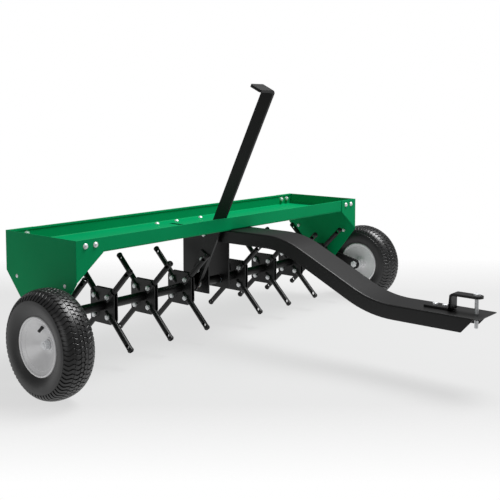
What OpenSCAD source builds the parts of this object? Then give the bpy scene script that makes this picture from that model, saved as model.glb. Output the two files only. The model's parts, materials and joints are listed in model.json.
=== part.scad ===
// Tow behind plug aerator: a weight tray on two end plates, coring wheels on a
// lift axle below it, two transport wheels, a lift lever and a channel drawbar.
// Millimetres. +Z is up, the hitch points to -Y, the machine's right is -X.

/* [Tray] */
// Width over the two end plates
tray_w = 1219; // [900:1:1600]
// Depth over the end plate flanges
tray_d = 289; // [260:1:400]
// Outside height of the tray walls
wall_h = 38; // [30:1:70]
// Height of the tray rim above the ground
rim_z = 366; // [350:1:420]
// Thickness of the tray sheet
sheet_t = 2; // [1.5:0.1:3]
// Height of the folded hem along the rim
hem_h = 6; // [4:0.5:7]
// Inside radius of the sheet's bends
fold_r = 3; // [1:0.5:6]

/* [End plates] */
// Thickness of the end plates
end_t = 2.5; // [2:0.1:5]
// Length of their upright edges, down from the rim
end_edge_h = 104; // [90:1:130]
// Width of the flat foot below the axle
end_foot_w = 60; // [50:1:90]
// Depth of the foot below the axle's centre
end_foot_drop = 26; // [22:1:34]
// Width of the flanges that lap the tray walls
end_flange_w = 84; // [75:1:120]
// Distance from the tray's end to the first flange bolt
flange_bolt_x = 29; // [20:1:34]
// Spacing of the two flange bolts
flange_bolt_pitch = 31; // [22:1:36]
// Depth of the flange bolts below the rim
flange_bolt_drop = 16; // [15:0.5:20]
// Distance of the small plate bolts from the middle
plate_bolt_y = 99; // [80:1:105]
// Depth of the small plate bolts below the rim
plate_bolt_drop = 115; // [110:1:122]

/* [Axle] */
// Diameter of the lift axle
axle_d = 19; // [16:0.5:22]
// Height of the axle above the ground
axle_z = 155; // [153:0.5:170]
// Place of the axle from the tray's middle
axle_y = -9; // [-15:1:5]
// Radial clearance of the running fits
run_c = 0.05; // [0.02:0.01:0.1]
// End clearance between pieces that turn past each other
end_c = 0.3; // [0.2:0.05:0.6]
// Outside diameter of the bushes that carry the axle
bush_d = 25; // [24:0.5:30]
// Diameter of the bush flanges
bush_flange_d = 36; // [33:1:40]
// Thickness of the bush flanges
bush_flange_t = 3; // [2:0.5:4]
// Outside diameter of the spacer tubes on the axle
spacer_d = 25.4; // [24:0.2:27]

/* [Transport wheels] */
// Outside diameter of the tyres
tyre_d = 263; // [250:1:280]
// Section width of the tyres
tyre_w = 88; // [80:1:100]
// Thickness of the tyre's wall
tyre_wall = 7; // [5:0.5:9]
// Gap from the end plate to the tyre
wheel_gap = 29; // [29:1:45]
// Diameter over the rolled rim edge
rim_d = 143; // [136:1:150]
// Distance between the two rim edges
rim_w = 72; // [66:1:76]
// Thickness of the rim's pressed steel
rim_t = 2.5; // [2:0.1:3.5]
// Radius of the rolled rim edge
roll_r = 3.2; // [2:0.1:4]
// Diameter of the rim's barrel under the tyre
barrel_d = 119; // [114:1:122]
// Outside diameter of the hub tube
hub_d = 34; // [32:1:40]
// How far the hub's outer end stands out from the tyre's middle
hub_out = 4; // [0:1:8]
// Diameter of the wheel bolt
wheel_bolt_d = 12.7; // [12:0.1:18]
// Place of the valve from the wheel's axis
valve_r = 44; // [40:1:48]

/* [Lift arms and lever] */
// Distance from the lift axle to the wheel's axis
arm_len = 127; // [115:1:140]
// Thickness of the arms
arm_t = 8; // [6:0.5:9]
// Radius of the arm's end at the axle
arm_axle_r = 24; // [20:1:28]
// Radius of the arm's end at the wheel
arm_wheel_r = 17; // [15:1:22]
// Width of the lever bar
lever_w = 40; // [34:1:44]
// Thickness of the lever bar
lever_t = 8; // [6:0.5:10]
// Length of the lever from the axle to its bend
lever_len = 646; // [500:1:720]
// Forward lean of the lever, wheels down
lever_lean = 26.2; // [20:0.1:26.4]
// Place of the lever's middle plane across the machine
lever_x = -62; // [-66:0.5:-61]
// Length of the bent tab at the top
lever_tab = 52; // [40:1:70]
// Inside radius of the tab's bend
lever_bend_r = 6; // [4:0.5:10]
// Turn of the axle from transport to work
lift_turn = 50; // [40:1:52]
// Clearance of the lever in the tray's slot
slot_c = 5; // [3:0.5:6]

/* [Coring wheels] */
// Coring wheels on each side of the hanger
wheels_per_side = 4; // [1:1:4]
// Distance from the tray's end to the outer coring wheel
tine_in = 50.5; // [40:0.5:80]
// Distance between the two innermost coring wheels
tine_gap = 242; // [230:1:244]
// Radius of the coring tips
tip_r = 152; // [130:1:152]
// Outside diameter of the coring tubes
tine_d = 15.5; // [15:0.5:18]
// Wall of the coring tubes
tine_wall = 2.2; // [1.5:0.1:3]
// Diameter of the cutting ring at the tip
ring_d = 17; // [16:0.5:20]
// Length of the cutting ring past the window
ring_l = 8; // [5:1:14]
// Radius where the coring tubes begin
tine_root_r = 22; // [18:1:26]
// Length of the window where the cores leave the tube
window_l = 14; // [13:1:30]
// Width of that window
window_w = 12.5; // [6:0.5:12.5]
// Side of the square of clamp bolts
clamp_square = 53.6; // [50:0.2:56]
// Width of the clamp plates
plate_w = 96; // [90:1:104]
// Corner cut of the clamp plates
plate_cut = 14; // [10:1:20]
// Thickness of the clamp plates
plate_t = 3; // [2:0.5:4]
// Gap between the two clamp plates
plate_gap = 8; // [5:0.5:10]

/* [Hanger] */
// Thickness of the hanger
hanger_t = 5; // [4:0.5:6]
// Width of the hanger's legs, front to back
hanger_leg_w = 105; // [90:1:110]
// How far the hanger's middle lies behind the axle
hanger_back = 10.5; // [0:0.5:14]
// Depth of the legs below the axle's centre
hanger_drop = 27; // [17:1:34]

/* [Drawbar] */
// Width of the drawbar channel
bar_w = 102; // [98:1:104]
// Depth of the drawbar's sides
bar_h = 38; // [30:1:48]
// Thickness of the drawbar
bar_t = 3; // [2.5:0.1:4]
// Outside radius of the channel's edges
bar_edge_r = 5; // [4:0.5:8]
// Height of the drawbar's top at the hitch
hitch_z = 192; // [180:1:230]
// Where the S bend begins, ahead of the tray's middle
bend_start = 272; // [240:1:300]
// Radius of the two bends along the top
bend_r = 270; // [200:1:300]
// Angle of the ramp between the bends
ramp_a = 25.5; // [22:0.5:30]
// Where the drawbar's tip is, ahead of the tray's middle
tip_y = 907; // [860:1:1000]
// Length of the sides that is cut away towards the tip
nose_cut = 46; // [30:1:60]
// Length of the bare lip ahead of that slope
nose_lip = 14; // [8:1:20]
// Width of the drawbar's rear foot under the tray
foot_w = 224; // [200:1:260]
// Length of the rear foot
foot_l = 36; // [30:1:44]

/* [Hitch] */
// Width of the hitch strap
strap_w = 32; // [28:1:44]
// Thickness of the hitch strap
strap_t = 6; // [5:0.5:8]
// Gap between the drawbar and the strap
hitch_gap = 38; // [25:1:50]
// Distance from the drawbar's tip to the hitch pin
pin_back = 29; // [24:1:34]
// Length of the strap's foot on the drawbar
strap_foot = 74; // [66:1:90]
// Distance from the hitch pin to the strap's upright
throat = 58; // [45:1:70]
// Inside radius of the strap's bends
strap_bend_r = 4; // [2:0.5:8]
// Diameter of the hitch pin
pin_d = 9.5; // [8:0.5:13]
// Length of the pin below the drawbar's top
pin_tail = 36; // [30:1:60]

/* [Fasteners] */
// Diameter of the frame bolts
bolt_d = 8; // [6:0.5:9]
// Size across the flats of the frame bolts
bolt_af = 12.7; // [12:0.1:14]
// Height of the bolt heads
head_h = 5; // [4:0.5:6]
// Height of the nuts
nut_h = 6.5; // [5:0.5:8]
// How far a bolt's end stands out of its nut
bolt_end = 2; // [1:0.5:4]
// Diameter of the small plate bolts
stud_d = 6; // [4:0.5:8]
// Diameter of the spring pins
roll_pin_d = 6; // [4:0.5:7]

/* [Hidden] */
$fn = 48;
eps = 0.01;
// Clearance of a bolt or pin in its hole, on the radius
hole_c = 0.05;
// Clearance of a seated tube in its groove, on the radius
seat_c = 0.05;

// Levels
floor_z = rim_z - wall_h;
floor_top = floor_z + sheet_t;
edge_z = rim_z - end_edge_h;
foot_z = axle_z - end_foot_drop;
wheel_z = tyre_d / 2;

// The part stands over the middle of its own box
y_front = -tip_y;
y_rear = tray_d / 2 + head_h;
y_shift = -(y_front + y_rear) / 2;

// Places along the axle, from the middle to the right or left end
bush_out_x = tray_w / 2 + bush_flange_t;
collar_d = 34;
collar_l = 8;
collar_x = bush_out_x + end_c;
arm_x = collar_x + collar_l;
axle_stub = 3;
axle_end = arm_x + arm_t + axle_stub;
wheel_x = tray_w / 2 + wheel_gap + tyre_w / 2;
tine_pitch = (tray_w / 2 - tine_in - tine_gap / 2) / max(wheels_per_side - 1, 1);
tine_x = [for (i = [0:wheels_per_side - 1]) tine_gap / 2 + i * tine_pitch];
plate_face = plate_gap / 2 + plate_t;
ring_lip = 1;
window_c = 0.5;
coring_count = 2 * wheels_per_side;

// Transport wheels, seen from the lift axle
arm_fall = asin((axle_z - wheel_z) / arm_len);
wheel_y = axle_y - arm_len * cos(arm_fall);
tyre_mid_r = (tyre_d + rim_d) / 4 + 1;
tread_n = 2.25;
bore_n = 2.4;
foot_gap = 0.6;
groove_w = 2.5;
groove_d = 3;
tread_grooves = [-18, -6, 6, 18];
lug_count = 44;
notch_w = 5;
notch_in = 16.7;
notch_slope = -45;
lip_u = rim_w / 2 - roll_r;
flange_rise = 4;
wall_u = lip_u - flange_rise;
hub_land = 6;
inner_dish_u = -18;
dish_back = 2;
spindle_l = 20;
hub_in_x = arm_x + arm_t + spindle_l;
hub_out_x = wheel_x + hub_out;
hub_flange_d = hub_d - 10;
hub_flange_t = 2;
hub_bush_wall = 4;
hub_bush_l = 14;
washer_t = 2;
wheel_bolt_af = 1.5 * wheel_bolt_d;
wheel_head_h = 0.45 * wheel_bolt_d;
wheel_nut_h = 0.65 * wheel_bolt_d;
washer_x = hub_out_x + hub_flange_t + end_c;
hub_u = hub_out - dish_back;
dish_r = hub_d / 2 + hub_land;
dish_slope = atan((wall_u - hub_u) / (barrel_d / 2 - dish_r));
valve_u = hub_u + (valve_r - dish_r) * tan(dish_slope);
valve_d = 9;
valve_in = 9;
valve_out = 7;
valve_cap_d = 8;
valve_cap_l = 8;

// Hanger, nested in the drawbar's channel
nest_c = 0.5;
hanger_w = bar_w - 2 * bar_t - 2 * nest_c;
hanger_z = floor_z - bar_t;
hanger_y = axle_y + hanger_back;
hanger_in_x = hanger_w / 2 - hanger_t;
hanger_bush_l = 20;
lever_collar_l = 16;
lever_plate_t = 6;
lever_plate_l = 112;
lever_plate_d = 40;
lever_bolt_r = [52, 90];
lever_root = 30;
lever_corner = 7;
bracket_x = lever_x - lever_t / 2 - lever_plate_t;

// Drawbar's S bend
bar_drop = floor_z - hitch_z;
ramp_l = (bar_drop - 2 * bend_r * (1 - cos(ramp_a))) / sin(ramp_a);
bend_run = bend_r * sin(ramp_a);
bend_fall = bend_r * (1 - cos(ramp_a));
front_start = bend_start + 2 * bend_run + ramp_l * cos(ramp_a);
ramp_lap = 0.5;
ramp_step = 0.02;
foot_c = 2;
foot_y = tray_d / 2 - end_t - sheet_t - fold_r - foot_c - foot_l;

// Hitch
pin_y = -tip_y + pin_back;
strap_z = hitch_z + hitch_gap;
upright_y = pin_y + throat;
strap_bolt_in = 18;
strap_bolt_pitch = 26;
strap_bolt_y = [for (i = [0, 1]) upright_y + strap_t + strap_bolt_in + i * strap_bolt_pitch];
pin_head_d = pin_d + 8;
pin_head_h = 5;
pin_point_d = 0.7 * pin_d;
pin_point_l = pin_d / 4;

// Tray, hanger and small plate bolts
foot_bolt_in = 16;
middle_bolt_x = -12;
floor_bolt_x = [-foot_w / 2 + foot_bolt_in, middle_bolt_x, foot_w / 2 - foot_bolt_in];
floor_bolt_y = foot_y + foot_l / 2;
front_bolt_x = 30;
front_bolt_in = 34;
front_bolt_y = -tray_d / 2 + front_bolt_in;
side_bolt_in = 13;
side_bolt_y = [for (s = [-1, 1]) hanger_y + s * (hanger_leg_w / 2 - side_bolt_in)];
side_bolt_drop = 21;
side_bolt_z = floor_z - side_bolt_drop;
dome_d = bolt_af + 2;
low_nut_h = 3.5;
stud_head_d = stud_d + 4;
stud_head_h = stud_d / 3;
stud_af = 1.6 * stud_d;
stud_nut_h = 0.8 * stud_d;

// Lever's reach through the tray floor, from the axle line
function lever_y(a, z) = axle_y - (z - axle_z) * tan(a);
lever_half = lever_w / 2 / cos(lever_lean);
slot_front = lever_y(lever_lean, floor_top) - lever_half - slot_c;
slot_rear = lever_y(lever_lean - lift_turn, floor_top) + lever_half + slot_c;

// Colours
green = "#0b8f52";
black = "#26282a";
zinc = "#c3c6c8";
grey = "#b9bbbd";
tyre_black = "#2b2b2c";
nylon = "#d9dad6";

RIGHT = -1;
LEFT = 1;

// Sets a piece in the part's own frame
module placed() {
    translate([0, y_shift, 0]) children();
}

// Turns a plan drawn in Y and Z into a plate that grows along +X
module plate_x(t) {
    rotate([90, 0, 90]) linear_extrude(t) children();
}

// Cylinder along X that starts at x
module rod_x(d, x0, x1) {
    translate([x0, 0, 0]) rotate([0, 90, 0]) cylinder(d = d, h = x1 - x0);
}

// Tube along X
module tube_x(d_out, d_in, x0, x1) {
    difference() {
        rod_x(d_out, x0, x1);
        rod_x(d_in, x0 - 1, x1 + 1);
    }
}

// Hexagon head or nut along +Z
module hex(af, h) {
    cylinder(d = af / cos(30), h = h, $fn = 6);
}

// Nut along +Z
module nut(d, af, h) {
    difference() {
        hex(af, h);
        translate([0, 0, -1]) cylinder(d = d + 2 * hole_c, h = h + 2);
    }
}

// Hexagon bolt with its head below z = 0, its shank along +Z
module hex_bolt(d, af, h, l) {
    translate([0, 0, -h]) hex(af, h);
    translate([0, 0, -eps]) cylinder(d = d, h = l + eps);
}

// Round head below z = 0, its shank along +Z
module dome_bolt(d, d_head, h, l) {
    ball_r = (pow(d_head / 2, 2) + h * h) / (2 * h);
    intersection() {
        translate([0, 0, ball_r - h]) sphere(r = ball_r);
        translate([0, 0, -h]) cylinder(d = d_head, h = h);
    }
    translate([0, 0, -eps]) cylinder(d = d, h = l + eps);
}

// A dome bolt through a stack of the given thickness, with its nut
module dome_bolt_and_nut(stack) {
    dome_bolt(bolt_d, dome_d, head_h, stack + nut_h + bolt_end);
    translate([0, 0, stack]) nut(bolt_d, bolt_af, nut_h);
}

// A hexagon bolt through a stack, with its nut
module hex_bolt_and_nut(d, af, stack) {
    hex_bolt(d, af, head_h, stack + nut_h + bolt_end);
    translate([0, 0, stack]) nut(d, af, nut_h);
}

// Section of a folded channel: web on top at y = 0, sides down
module channel_2d(w, h, t, r) {
    difference() {
        rounded_top_2d(w, h, r);
        translate([0, -t]) rounded_top_2d(w - 2 * t, h, max(r - t, 0.5));
    }
}

module rounded_top_2d(w, h, r) {
    translate([-w / 2, -h]) square([w, h - r]);
    translate([-w / 2 + r, -h]) square([w - 2 * r, h]);
    for (s = [-1, 1]) translate([s * (w / 2 - r), -r]) circle(r = r);
}

// Two round ends joined by their common tangents, along +x
module link_2d(l, r0, r1) {
    a = acos((r0 - r1) / l);
    circle(r = r0);
    translate([l, 0]) circle(r = r1);
    polygon([
        [r0 * cos(a), -r0 * sin(a)],
        [l + r1 * cos(a), -r1 * sin(a)],
        [l + r1 * cos(a), r1 * sin(a)],
        [r0 * cos(a), r0 * sin(a)]
    ]);
}

// Children at the places of the flange bolts, with +Z into the tray
module flange_bolt_places(sides = [RIGHT, LEFT]) {
    for (sx = sides, sy = [-1, 1], k = [0, 1])
        translate([
            sx * (tray_w / 2 - flange_bolt_x - k * flange_bolt_pitch),
            sy * tray_d / 2,
            rim_z - flange_bolt_drop
        ]) rotate([sy * 90, 0, 0]) children();
}

// Children at the floor bolts, with +Z down through the floor
module floor_bolt_places() {
    for (x = floor_bolt_x) translate([x, floor_bolt_y, floor_top]) rotate([180, 0, 0]) children();
    for (s = [-1, 1])
        translate([s * front_bolt_x, front_bolt_y, floor_top]) rotate([180, 0, 0]) children();
}

// Children on the axle line
module on_axle() {
    translate([0, axle_y, axle_z]) children();
}

// Folded channel with a hem along both rims; the end plates close its ends
module tray() {
    w = tray_w - 2 * end_t;
    d = tray_d - 2 * end_t;
    hem_y = d / 2 - 2 * sheet_t;
    color(green) placed() difference() {
        union() {
            translate([-w / 2, 0, floor_z]) rotate([90, 0, 90]) linear_extrude(w)
                mirror([0, 1]) channel_2d(d, wall_h, sheet_t, fold_r + sheet_t);
            for (y = [hem_y, -d / 2]) translate([-w / 2, y, rim_z - hem_h])
                cube([w, 2 * sheet_t, hem_h]);
        }
        translate([lever_x - lever_t / 2 - slot_c, slot_front, floor_z - 1])
            cube([lever_t + 2 * slot_c, slot_rear - slot_front, sheet_t + 2]);
        flange_bolt_places() translate([0, 0, -1])
            cylinder(d = bolt_d + 2 * hole_c, h = end_t + sheet_t + 2);
        floor_bolt_places() translate([0, 0, -1])
            cylinder(d = bolt_d + 2 * hole_c, h = sheet_t + 2);
    }
}

// Outline of an end plate in Y and Z
module end_plate_2d() {
    polygon([
        [-tray_d / 2, rim_z],
        [-tray_d / 2, edge_z],
        [axle_y - end_foot_w / 2, foot_z],
        [axle_y + end_foot_w / 2, foot_z],
        [tray_d / 2, edge_z],
        [tray_d / 2, rim_z]
    ]);
}

// Left end plate; the right one is its mirror image
module end_plate() {
    x = tray_w / 2;
    difference() {
        union() {
            translate([x - end_t, 0, 0]) plate_x(end_t) end_plate_2d();
            for (s = [-1, 1])
                translate([x, s * tray_d / 2 + (s > 0 ? 0 : end_t), 0]) rotate([90, 0, 0])
                    linear_extrude(end_t) polygon([
                        [0, rim_z],
                        [-end_flange_w, rim_z],
                        [-end_flange_w, floor_z],
                        [0, edge_z]
                    ]);
        }
        on_axle() rod_x(bush_d + 2 * hole_c, x - end_t - 1, x + 1);
        flange_bolt_places([LEFT]) translate([0, 0, -1])
            cylinder(d = bolt_d + 2 * hole_c, h = end_t + 2);
        for (s = [-1, 1]) translate([0, s * plate_bolt_y, rim_z - plate_bolt_drop])
            rod_x(stud_d + 2 * hole_c, x - end_t - 1, x + 1);
    }
}

module left_end_plate() {
    color(green) placed() end_plate();
}

module right_end_plate() {
    color(green) placed() mirror([1, 0, 0]) end_plate();
}

module flange_bolts() {
    color(zinc) placed() flange_bolt_places() dome_bolt_and_nut(end_t + sheet_t);
}

module plate_bolts() {
    color(zinc) placed() for (sx = [RIGHT, LEFT], sy = [-1, 1])
        translate([sx * tray_w / 2, sy * plate_bolt_y, rim_z - plate_bolt_drop])
        rotate([0, -sx * 90, 0]) {
            dome_bolt(stud_d, stud_head_d, stud_head_h, end_t + stud_nut_h + bolt_end);
            translate([0, 0, end_t]) nut(stud_d, stud_af, stud_nut_h);
        }
}

module tray_bolts() {
    color(zinc) placed() floor_bolt_places() dome_bolt_and_nut(sheet_t + bar_t);
}

// One straight run of the drawbar's channel, along -Y from the origin, its skin drawn in by step
module bar_run(l, step = 0) {
    rotate([90, 0, 0]) linear_extrude(l) translate([0, -step])
        channel_2d(bar_w - 2 * step, bar_h - 2 * step, bar_t - 2 * step, bar_edge_r - step);
}

// One bend of the channel about an axis along X, below it or above it
module bar_bend(below) {
    translate([0, 0, below ? -bend_r : bend_r]) rotate([0, 90, 0]) rotate([0, 0, below ? 180 : 0])
        rotate_extrude(angle = ramp_a, $fn = 96)
        translate([bend_r, 0]) rotate(below ? -90 : 90)
        channel_2d(bar_w, bar_h, bar_t, bar_edge_r);
}

module drawbar() {
    ramp_y = -bend_start - bend_run;
    ramp_z = floor_z - bend_fall;
    color(black) placed() difference() {
        union() {
            translate([0, foot_y, floor_z]) bar_run(foot_y + bend_start);
            translate([0, -bend_start, floor_z]) bar_bend(true);
            translate([0, ramp_y, ramp_z]) rotate([ramp_a, 0, 0]) translate([0, ramp_lap, 0])
                bar_run(ramp_l + 2 * ramp_lap, ramp_step);
            translate([0, -front_start, hitch_z]) bar_bend(false);
            translate([0, -front_start, hitch_z]) bar_run(tip_y - front_start);
            translate([-foot_w / 2, foot_y, floor_z - bar_t]) cube([foot_w, foot_l, bar_t]);
        }
        translate([0, -tip_y, hitch_z - bar_t]) nose_wedge();
        floor_bolt_places() translate([0, 0, -1])
            cylinder(d = bolt_d + 2 * hole_c, h = sheet_t + bar_t + 2);
        for (y = strap_bolt_y) translate([0, y, hitch_z - bar_t - 1])
            cylinder(d = bolt_d + 2 * hole_c, h = bar_t + 2);
        translate([0, pin_y, hitch_z - bar_t - 1]) cylinder(d = pin_d + 2 * run_c, h = bar_t + 2);
        for (y = side_bolt_y) translate([0, y, side_bolt_z])
            rod_x(bolt_d + 2 * hole_c, -bar_w, bar_w);
    }
}

// Cut that slopes the channel's sides up to the tip
module nose_wedge() {
    h = bar_h - bar_t + 1;
    rotate([90, 0, 90]) translate([0, 0, -bar_w]) linear_extrude(2 * bar_w)
        polygon([[-1, -h], [nose_cut, -h], [nose_lip, 0], [-1, 0]]);
}

module hanger() {
    w = hanger_w;
    color(black) placed() difference() {
        translate([0, hanger_y + hanger_leg_w / 2, hanger_z]) rotate([90, 0, 0])
            linear_extrude(hanger_leg_w)
            channel_2d(w, hanger_z - axle_z + hanger_drop, hanger_t, bar_edge_r);
        on_axle() rod_x(bush_d + 2 * hole_c, -w, w);
        for (y = side_bolt_y) translate([0, y, side_bolt_z]) rod_x(bolt_d + 2 * hole_c, -w, w);
    }
}

module hanger_bolts() {
    stack = bar_t + nest_c + hanger_t;
    color(zinc) placed() for (s = [-1, 1], y = side_bolt_y)
        translate([s * bar_w / 2, y, side_bolt_z]) rotate([0, -s * 90, 0])
        hex_bolt_and_nut(bolt_d, bolt_af, stack);
}

// A quarter of a bent strip about the origin, from angle a to a + 90
module bend_2d(r, t, a) {
    rotate(a) intersection() {
        difference() {
            circle(r = r + t);
            circle(r = r);
        }
        square(r + t);
    }
}

// Side view of the hitch strap: foot, bend, upright, bend and top
module strap_2d() {
    r = strap_bend_r;
    foot_in = upright_y + strap_t + r;
    upright_in = hitch_z + strap_t + r;
    translate([foot_in, hitch_z]) square([upright_y + strap_foot - foot_in, strap_t]);
    translate([foot_in, upright_in]) bend_2d(r, strap_t, 180);
    translate([upright_y, upright_in]) square([strap_t, strap_z - r - upright_in]);
    translate([upright_y - r, strap_z - r]) bend_2d(r, strap_t, 0);
    translate([pin_y, strap_z]) square([upright_y - r - pin_y, strap_t]);
}

module hitch_strap() {
    color(black) placed() difference() {
        union() {
            translate([-strap_w / 2, 0, 0]) plate_x(strap_w) strap_2d();
            translate([0, pin_y, strap_z]) cylinder(d = strap_w, h = strap_t);
        }
        for (y = strap_bolt_y) translate([0, y, hitch_z - 1])
            cylinder(d = bolt_d + 2 * hole_c, h = strap_t + 2);
        translate([0, pin_y, strap_z - 1]) cylinder(d = pin_d + 2 * run_c, h = strap_t + 2);
    }
}

module strap_bolts() {
    color(zinc) placed() for (y = strap_bolt_y)
        translate([0, y, hitch_z + strap_t]) rotate([180, 0, 0])
        hex_bolt_and_nut(bolt_d, bolt_af, strap_t + bar_t);
}

module hitch_pin() {
    top = strap_z + strap_t;
    shank_z = hitch_z - pin_tail + pin_point_l;
    color(zinc) placed() translate([0, pin_y, 0]) {
        translate([0, 0, shank_z]) cylinder(d = pin_d, h = top - shank_z + eps);
        translate([0, 0, shank_z - pin_point_l])
            cylinder(d1 = pin_point_d, d2 = pin_d, h = pin_point_l);
        translate([0, 0, top]) cylinder(d = pin_head_d, h = pin_head_h);
    }
}

module end_bushes() {
    x = tray_w / 2;
    color(nylon) placed() on_axle() for (s = [0, 1]) mirror([s, 0, 0]) difference() {
        union() {
            rod_x(bush_d, x - end_t - bush_flange_t, bush_out_x);
            rod_x(bush_flange_d, x - end_t - bush_flange_t, x - end_t);
        }
        rod_x(axle_d + 2 * run_c, 0, bush_out_x + 1);
    }
}

// Plain sleeves in the hanger's legs, kept in place by the spacer tubes beside them
module hanger_bushes() {
    ends = [-bracket_x - lever_plate_t - end_c, hanger_w / 2 + hanger_bush_l];
    color(nylon) placed() on_axle() for (k = [0, 1]) mirror([1 - k, 0, 0])
        tube_x(bush_d, axle_d + 2 * run_c, hanger_in_x, ends[k]);
}

module axle() {
    color(grey) placed() on_axle() difference() {
        rod_x(axle_d, -axle_end, axle_end);
        roll_pin_places() cylinder(d = roll_pin_d + 2 * hole_c, h = 3 * axle_d, center = true);
    }
}

// Children at the three cross pins of the axle
module roll_pin_places() {
    arm_pin_x = collar_x + collar_l / 2;
    for (x = [-arm_pin_x, arm_pin_x, bracket_x - lever_collar_l / 2])
        translate([x, 0, 0]) children();
}

module roll_pins() {
    l = collar_d + 2;
    color(zinc) placed() on_axle() roll_pin_places() difference() {
        cylinder(d = roll_pin_d, h = l, center = true);
        cylinder(d = roll_pin_d / 2, h = l + 1, center = true);
    }
}

// Spacer tubes that keep the coring wheels apart on the axle
module axle_spacers() {
    n = wheels_per_side - 1;
    end_x = tray_w / 2 - end_t - bush_flange_t;
    bore = axle_d + 2 * run_c;
    clear = plate_face + end_c;
    color(black) placed() on_axle() {
        for (s = [0, 1]) mirror([s, 0, 0]) {
            if (n > 0) for (i = [1:n])
                tube_x(spacer_d, bore, tine_x[i - 1] + clear, tine_x[i] - clear);
            tube_x(spacer_d, bore, tine_x[n] + clear, end_x - end_c);
        }
        tube_x(spacer_d, bore, -hanger_in_x + end_c, hanger_in_x - end_c);
        tube_x(spacer_d, bore, hanger_w / 2 + hanger_bush_l + end_c, tine_x[0] - clear);
        tube_x(spacer_d, bore, -tine_x[0] + clear, bracket_x - lever_collar_l);
    }
}

// Left arm with its collar; the right one is its mirror image
module wheel_arm() {
    on_axle() difference() {
        union() {
            translate([arm_x, 0, 0]) rotate([arm_fall, 0, 0]) plate_x(arm_t)
                mirror([1, 0]) link_2d(arm_len, arm_axle_r, arm_wheel_r);
            rod_x(collar_d, collar_x, arm_x + eps);
        }
        rod_x(axle_d + 2 * hole_c, collar_x - 1, axle_end + 1);
        translate([collar_x + collar_l / 2, 0, 0])
            cylinder(d = roll_pin_d + 2 * hole_c, h = 2 * collar_d, center = true);
        translate([0, wheel_y - axle_y, wheel_z - axle_z])
            rod_x(wheel_bolt_d + 2 * hole_c, arm_x - 1, arm_x + arm_t + 1);
    }
}

module left_arm() {
    color(black) placed() wheel_arm();
}

module right_arm() {
    color(black) placed() mirror([1, 0, 0]) wheel_arm();
}

// Children on both wheel axes; +X points away from the machine
module wheel_axes() {
    for (s = [0, 1]) mirror([s, 0, 0]) translate([0, wheel_y, wheel_z]) children();
}

module wheel_bolts() {
    l = washer_x + washer_t + wheel_nut_h + bolt_end - arm_x;
    color(zinc) placed() wheel_axes() translate([arm_x, 0, 0]) rotate([0, 90, 0])
        hex_bolt(wheel_bolt_d, wheel_bolt_af, wheel_head_h, l);
}

module wheel_nuts() {
    color(zinc) placed() wheel_axes() translate([washer_x + washer_t, 0, 0]) rotate([0, 90, 0])
        nut(wheel_bolt_d, wheel_bolt_af, wheel_nut_h);
}

module wheel_washers() {
    color(zinc) placed() wheel_axes()
        tube_x(hub_flange_d, wheel_bolt_d + 2 * hole_c, washer_x, washer_x + washer_t);
}

module wheel_spacers() {
    color(zinc) placed() wheel_axes()
        tube_x(spacer_d, wheel_bolt_d + 2 * hole_c, arm_x + arm_t,
               hub_in_x - hub_flange_t - end_c);
}

// Tyre section: a squared oval with two beads, hollow inside
function squared(v, n) = sign(v) * pow(abs(v), 2 / n);
function tyre_point(t, half_w, half_h, n) =
    [tyre_mid_r + half_h * squared(cos(t), n), half_w * squared(sin(t), n)];

module tyre_oval_2d(wall, n) {
    steps = 48;
    polygon([for (i = [0:steps - 1])
        tyre_point(360 * i / steps, tyre_w / 2 - wall, tyre_d / 2 - tyre_mid_r - wall, n)]);
}

module tyre_2d() {
    bead_u = wall_u - rim_t - seat_c;
    bead_r = barrel_d / 2 + seat_c;
    foot_r = rim_d / 2 + foot_gap;
    foot_u = lip_u + roll_r / 2;
    difference() {
        union() {
            tyre_oval_2d(0, tread_n);
            translate([bead_r, -bead_u])
                square([(tyre_mid_r + rim_d / 2) / 2 - bead_r, 2 * bead_u]);
            polygon([
                [foot_r, -foot_u],
                [tyre_mid_r, -tyre_w / 2],
                [tyre_mid_r, tyre_w / 2],
                [foot_r, foot_u]
            ]);
        }
        tyre_oval_2d(tyre_wall, bore_n);
        translate([0, -bead_u + tyre_wall]) square([tyre_mid_r, 2 * (bead_u - tyre_wall)]);
    }
}

// Notches between the lugs on the tyre's shoulders
module shoulder_notches() {
    for (i = [0:lug_count - 1], s = [0, 1])
        rotate([0, 0, 360 * (i + s / 2) / lug_count]) mirror([0, 0, s])
            translate([tyre_d / 2, 0, tyre_w / 2]) rotate([0, notch_slope, 0])
                translate([-notch_in, -notch_w / 2, -tyre_w / 2]) cube([notch_in, notch_w, tyre_w]);
}

// Left tyre on its axis
module tyre() {
    translate([wheel_x, 0, 0]) rotate([0, 90, 0]) difference() {
        rotate_extrude($fn = 128) tyre_2d();
        for (u = tread_grooves) translate([0, 0, u - groove_w / 2]) difference() {
            cylinder(d = tyre_d + 10, h = groove_w, $fn = 128);
            translate([0, 0, -1]) cylinder(d = tyre_d - 2 * groove_d, h = groove_w + 2, $fn = 128);
        }
        shoulder_notches();
    }
}

module left_tyre() {
    color(tyre_black) placed() translate([0, wheel_y, wheel_z]) tyre();
}

module right_tyre() {
    color(tyre_black) placed() translate([0, wheel_y, wheel_z]) mirror([1, 0, 0]) tyre();
}

// One pressed dish from the hub to the rolled rim edge
module dish_2d(middle_u, s) {
    roll_at = [rim_d / 2 - roll_r, s * lip_u];
    line = [
        [hub_d / 2 - rim_t, middle_u],
        [dish_r, middle_u],
        [barrel_d / 2, s * wall_u],
        roll_at
    ];
    back = [for (i = [3:-1:0]) line[i] - [0, s * rim_t]];
    band = concat(line, back);
    polygon(s < 0 ? band : [for (i = [7:-1:0]) band[i]]);
    translate(roll_at) circle(r = roll_r);
}

// Children where the valve goes through the outer dish, with +Z square out of it
module on_valve_line() {
    translate([wheel_x + valve_u, 0, valve_r]) rotate([0, 90 + dish_slope, 0]) children();
}

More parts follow.
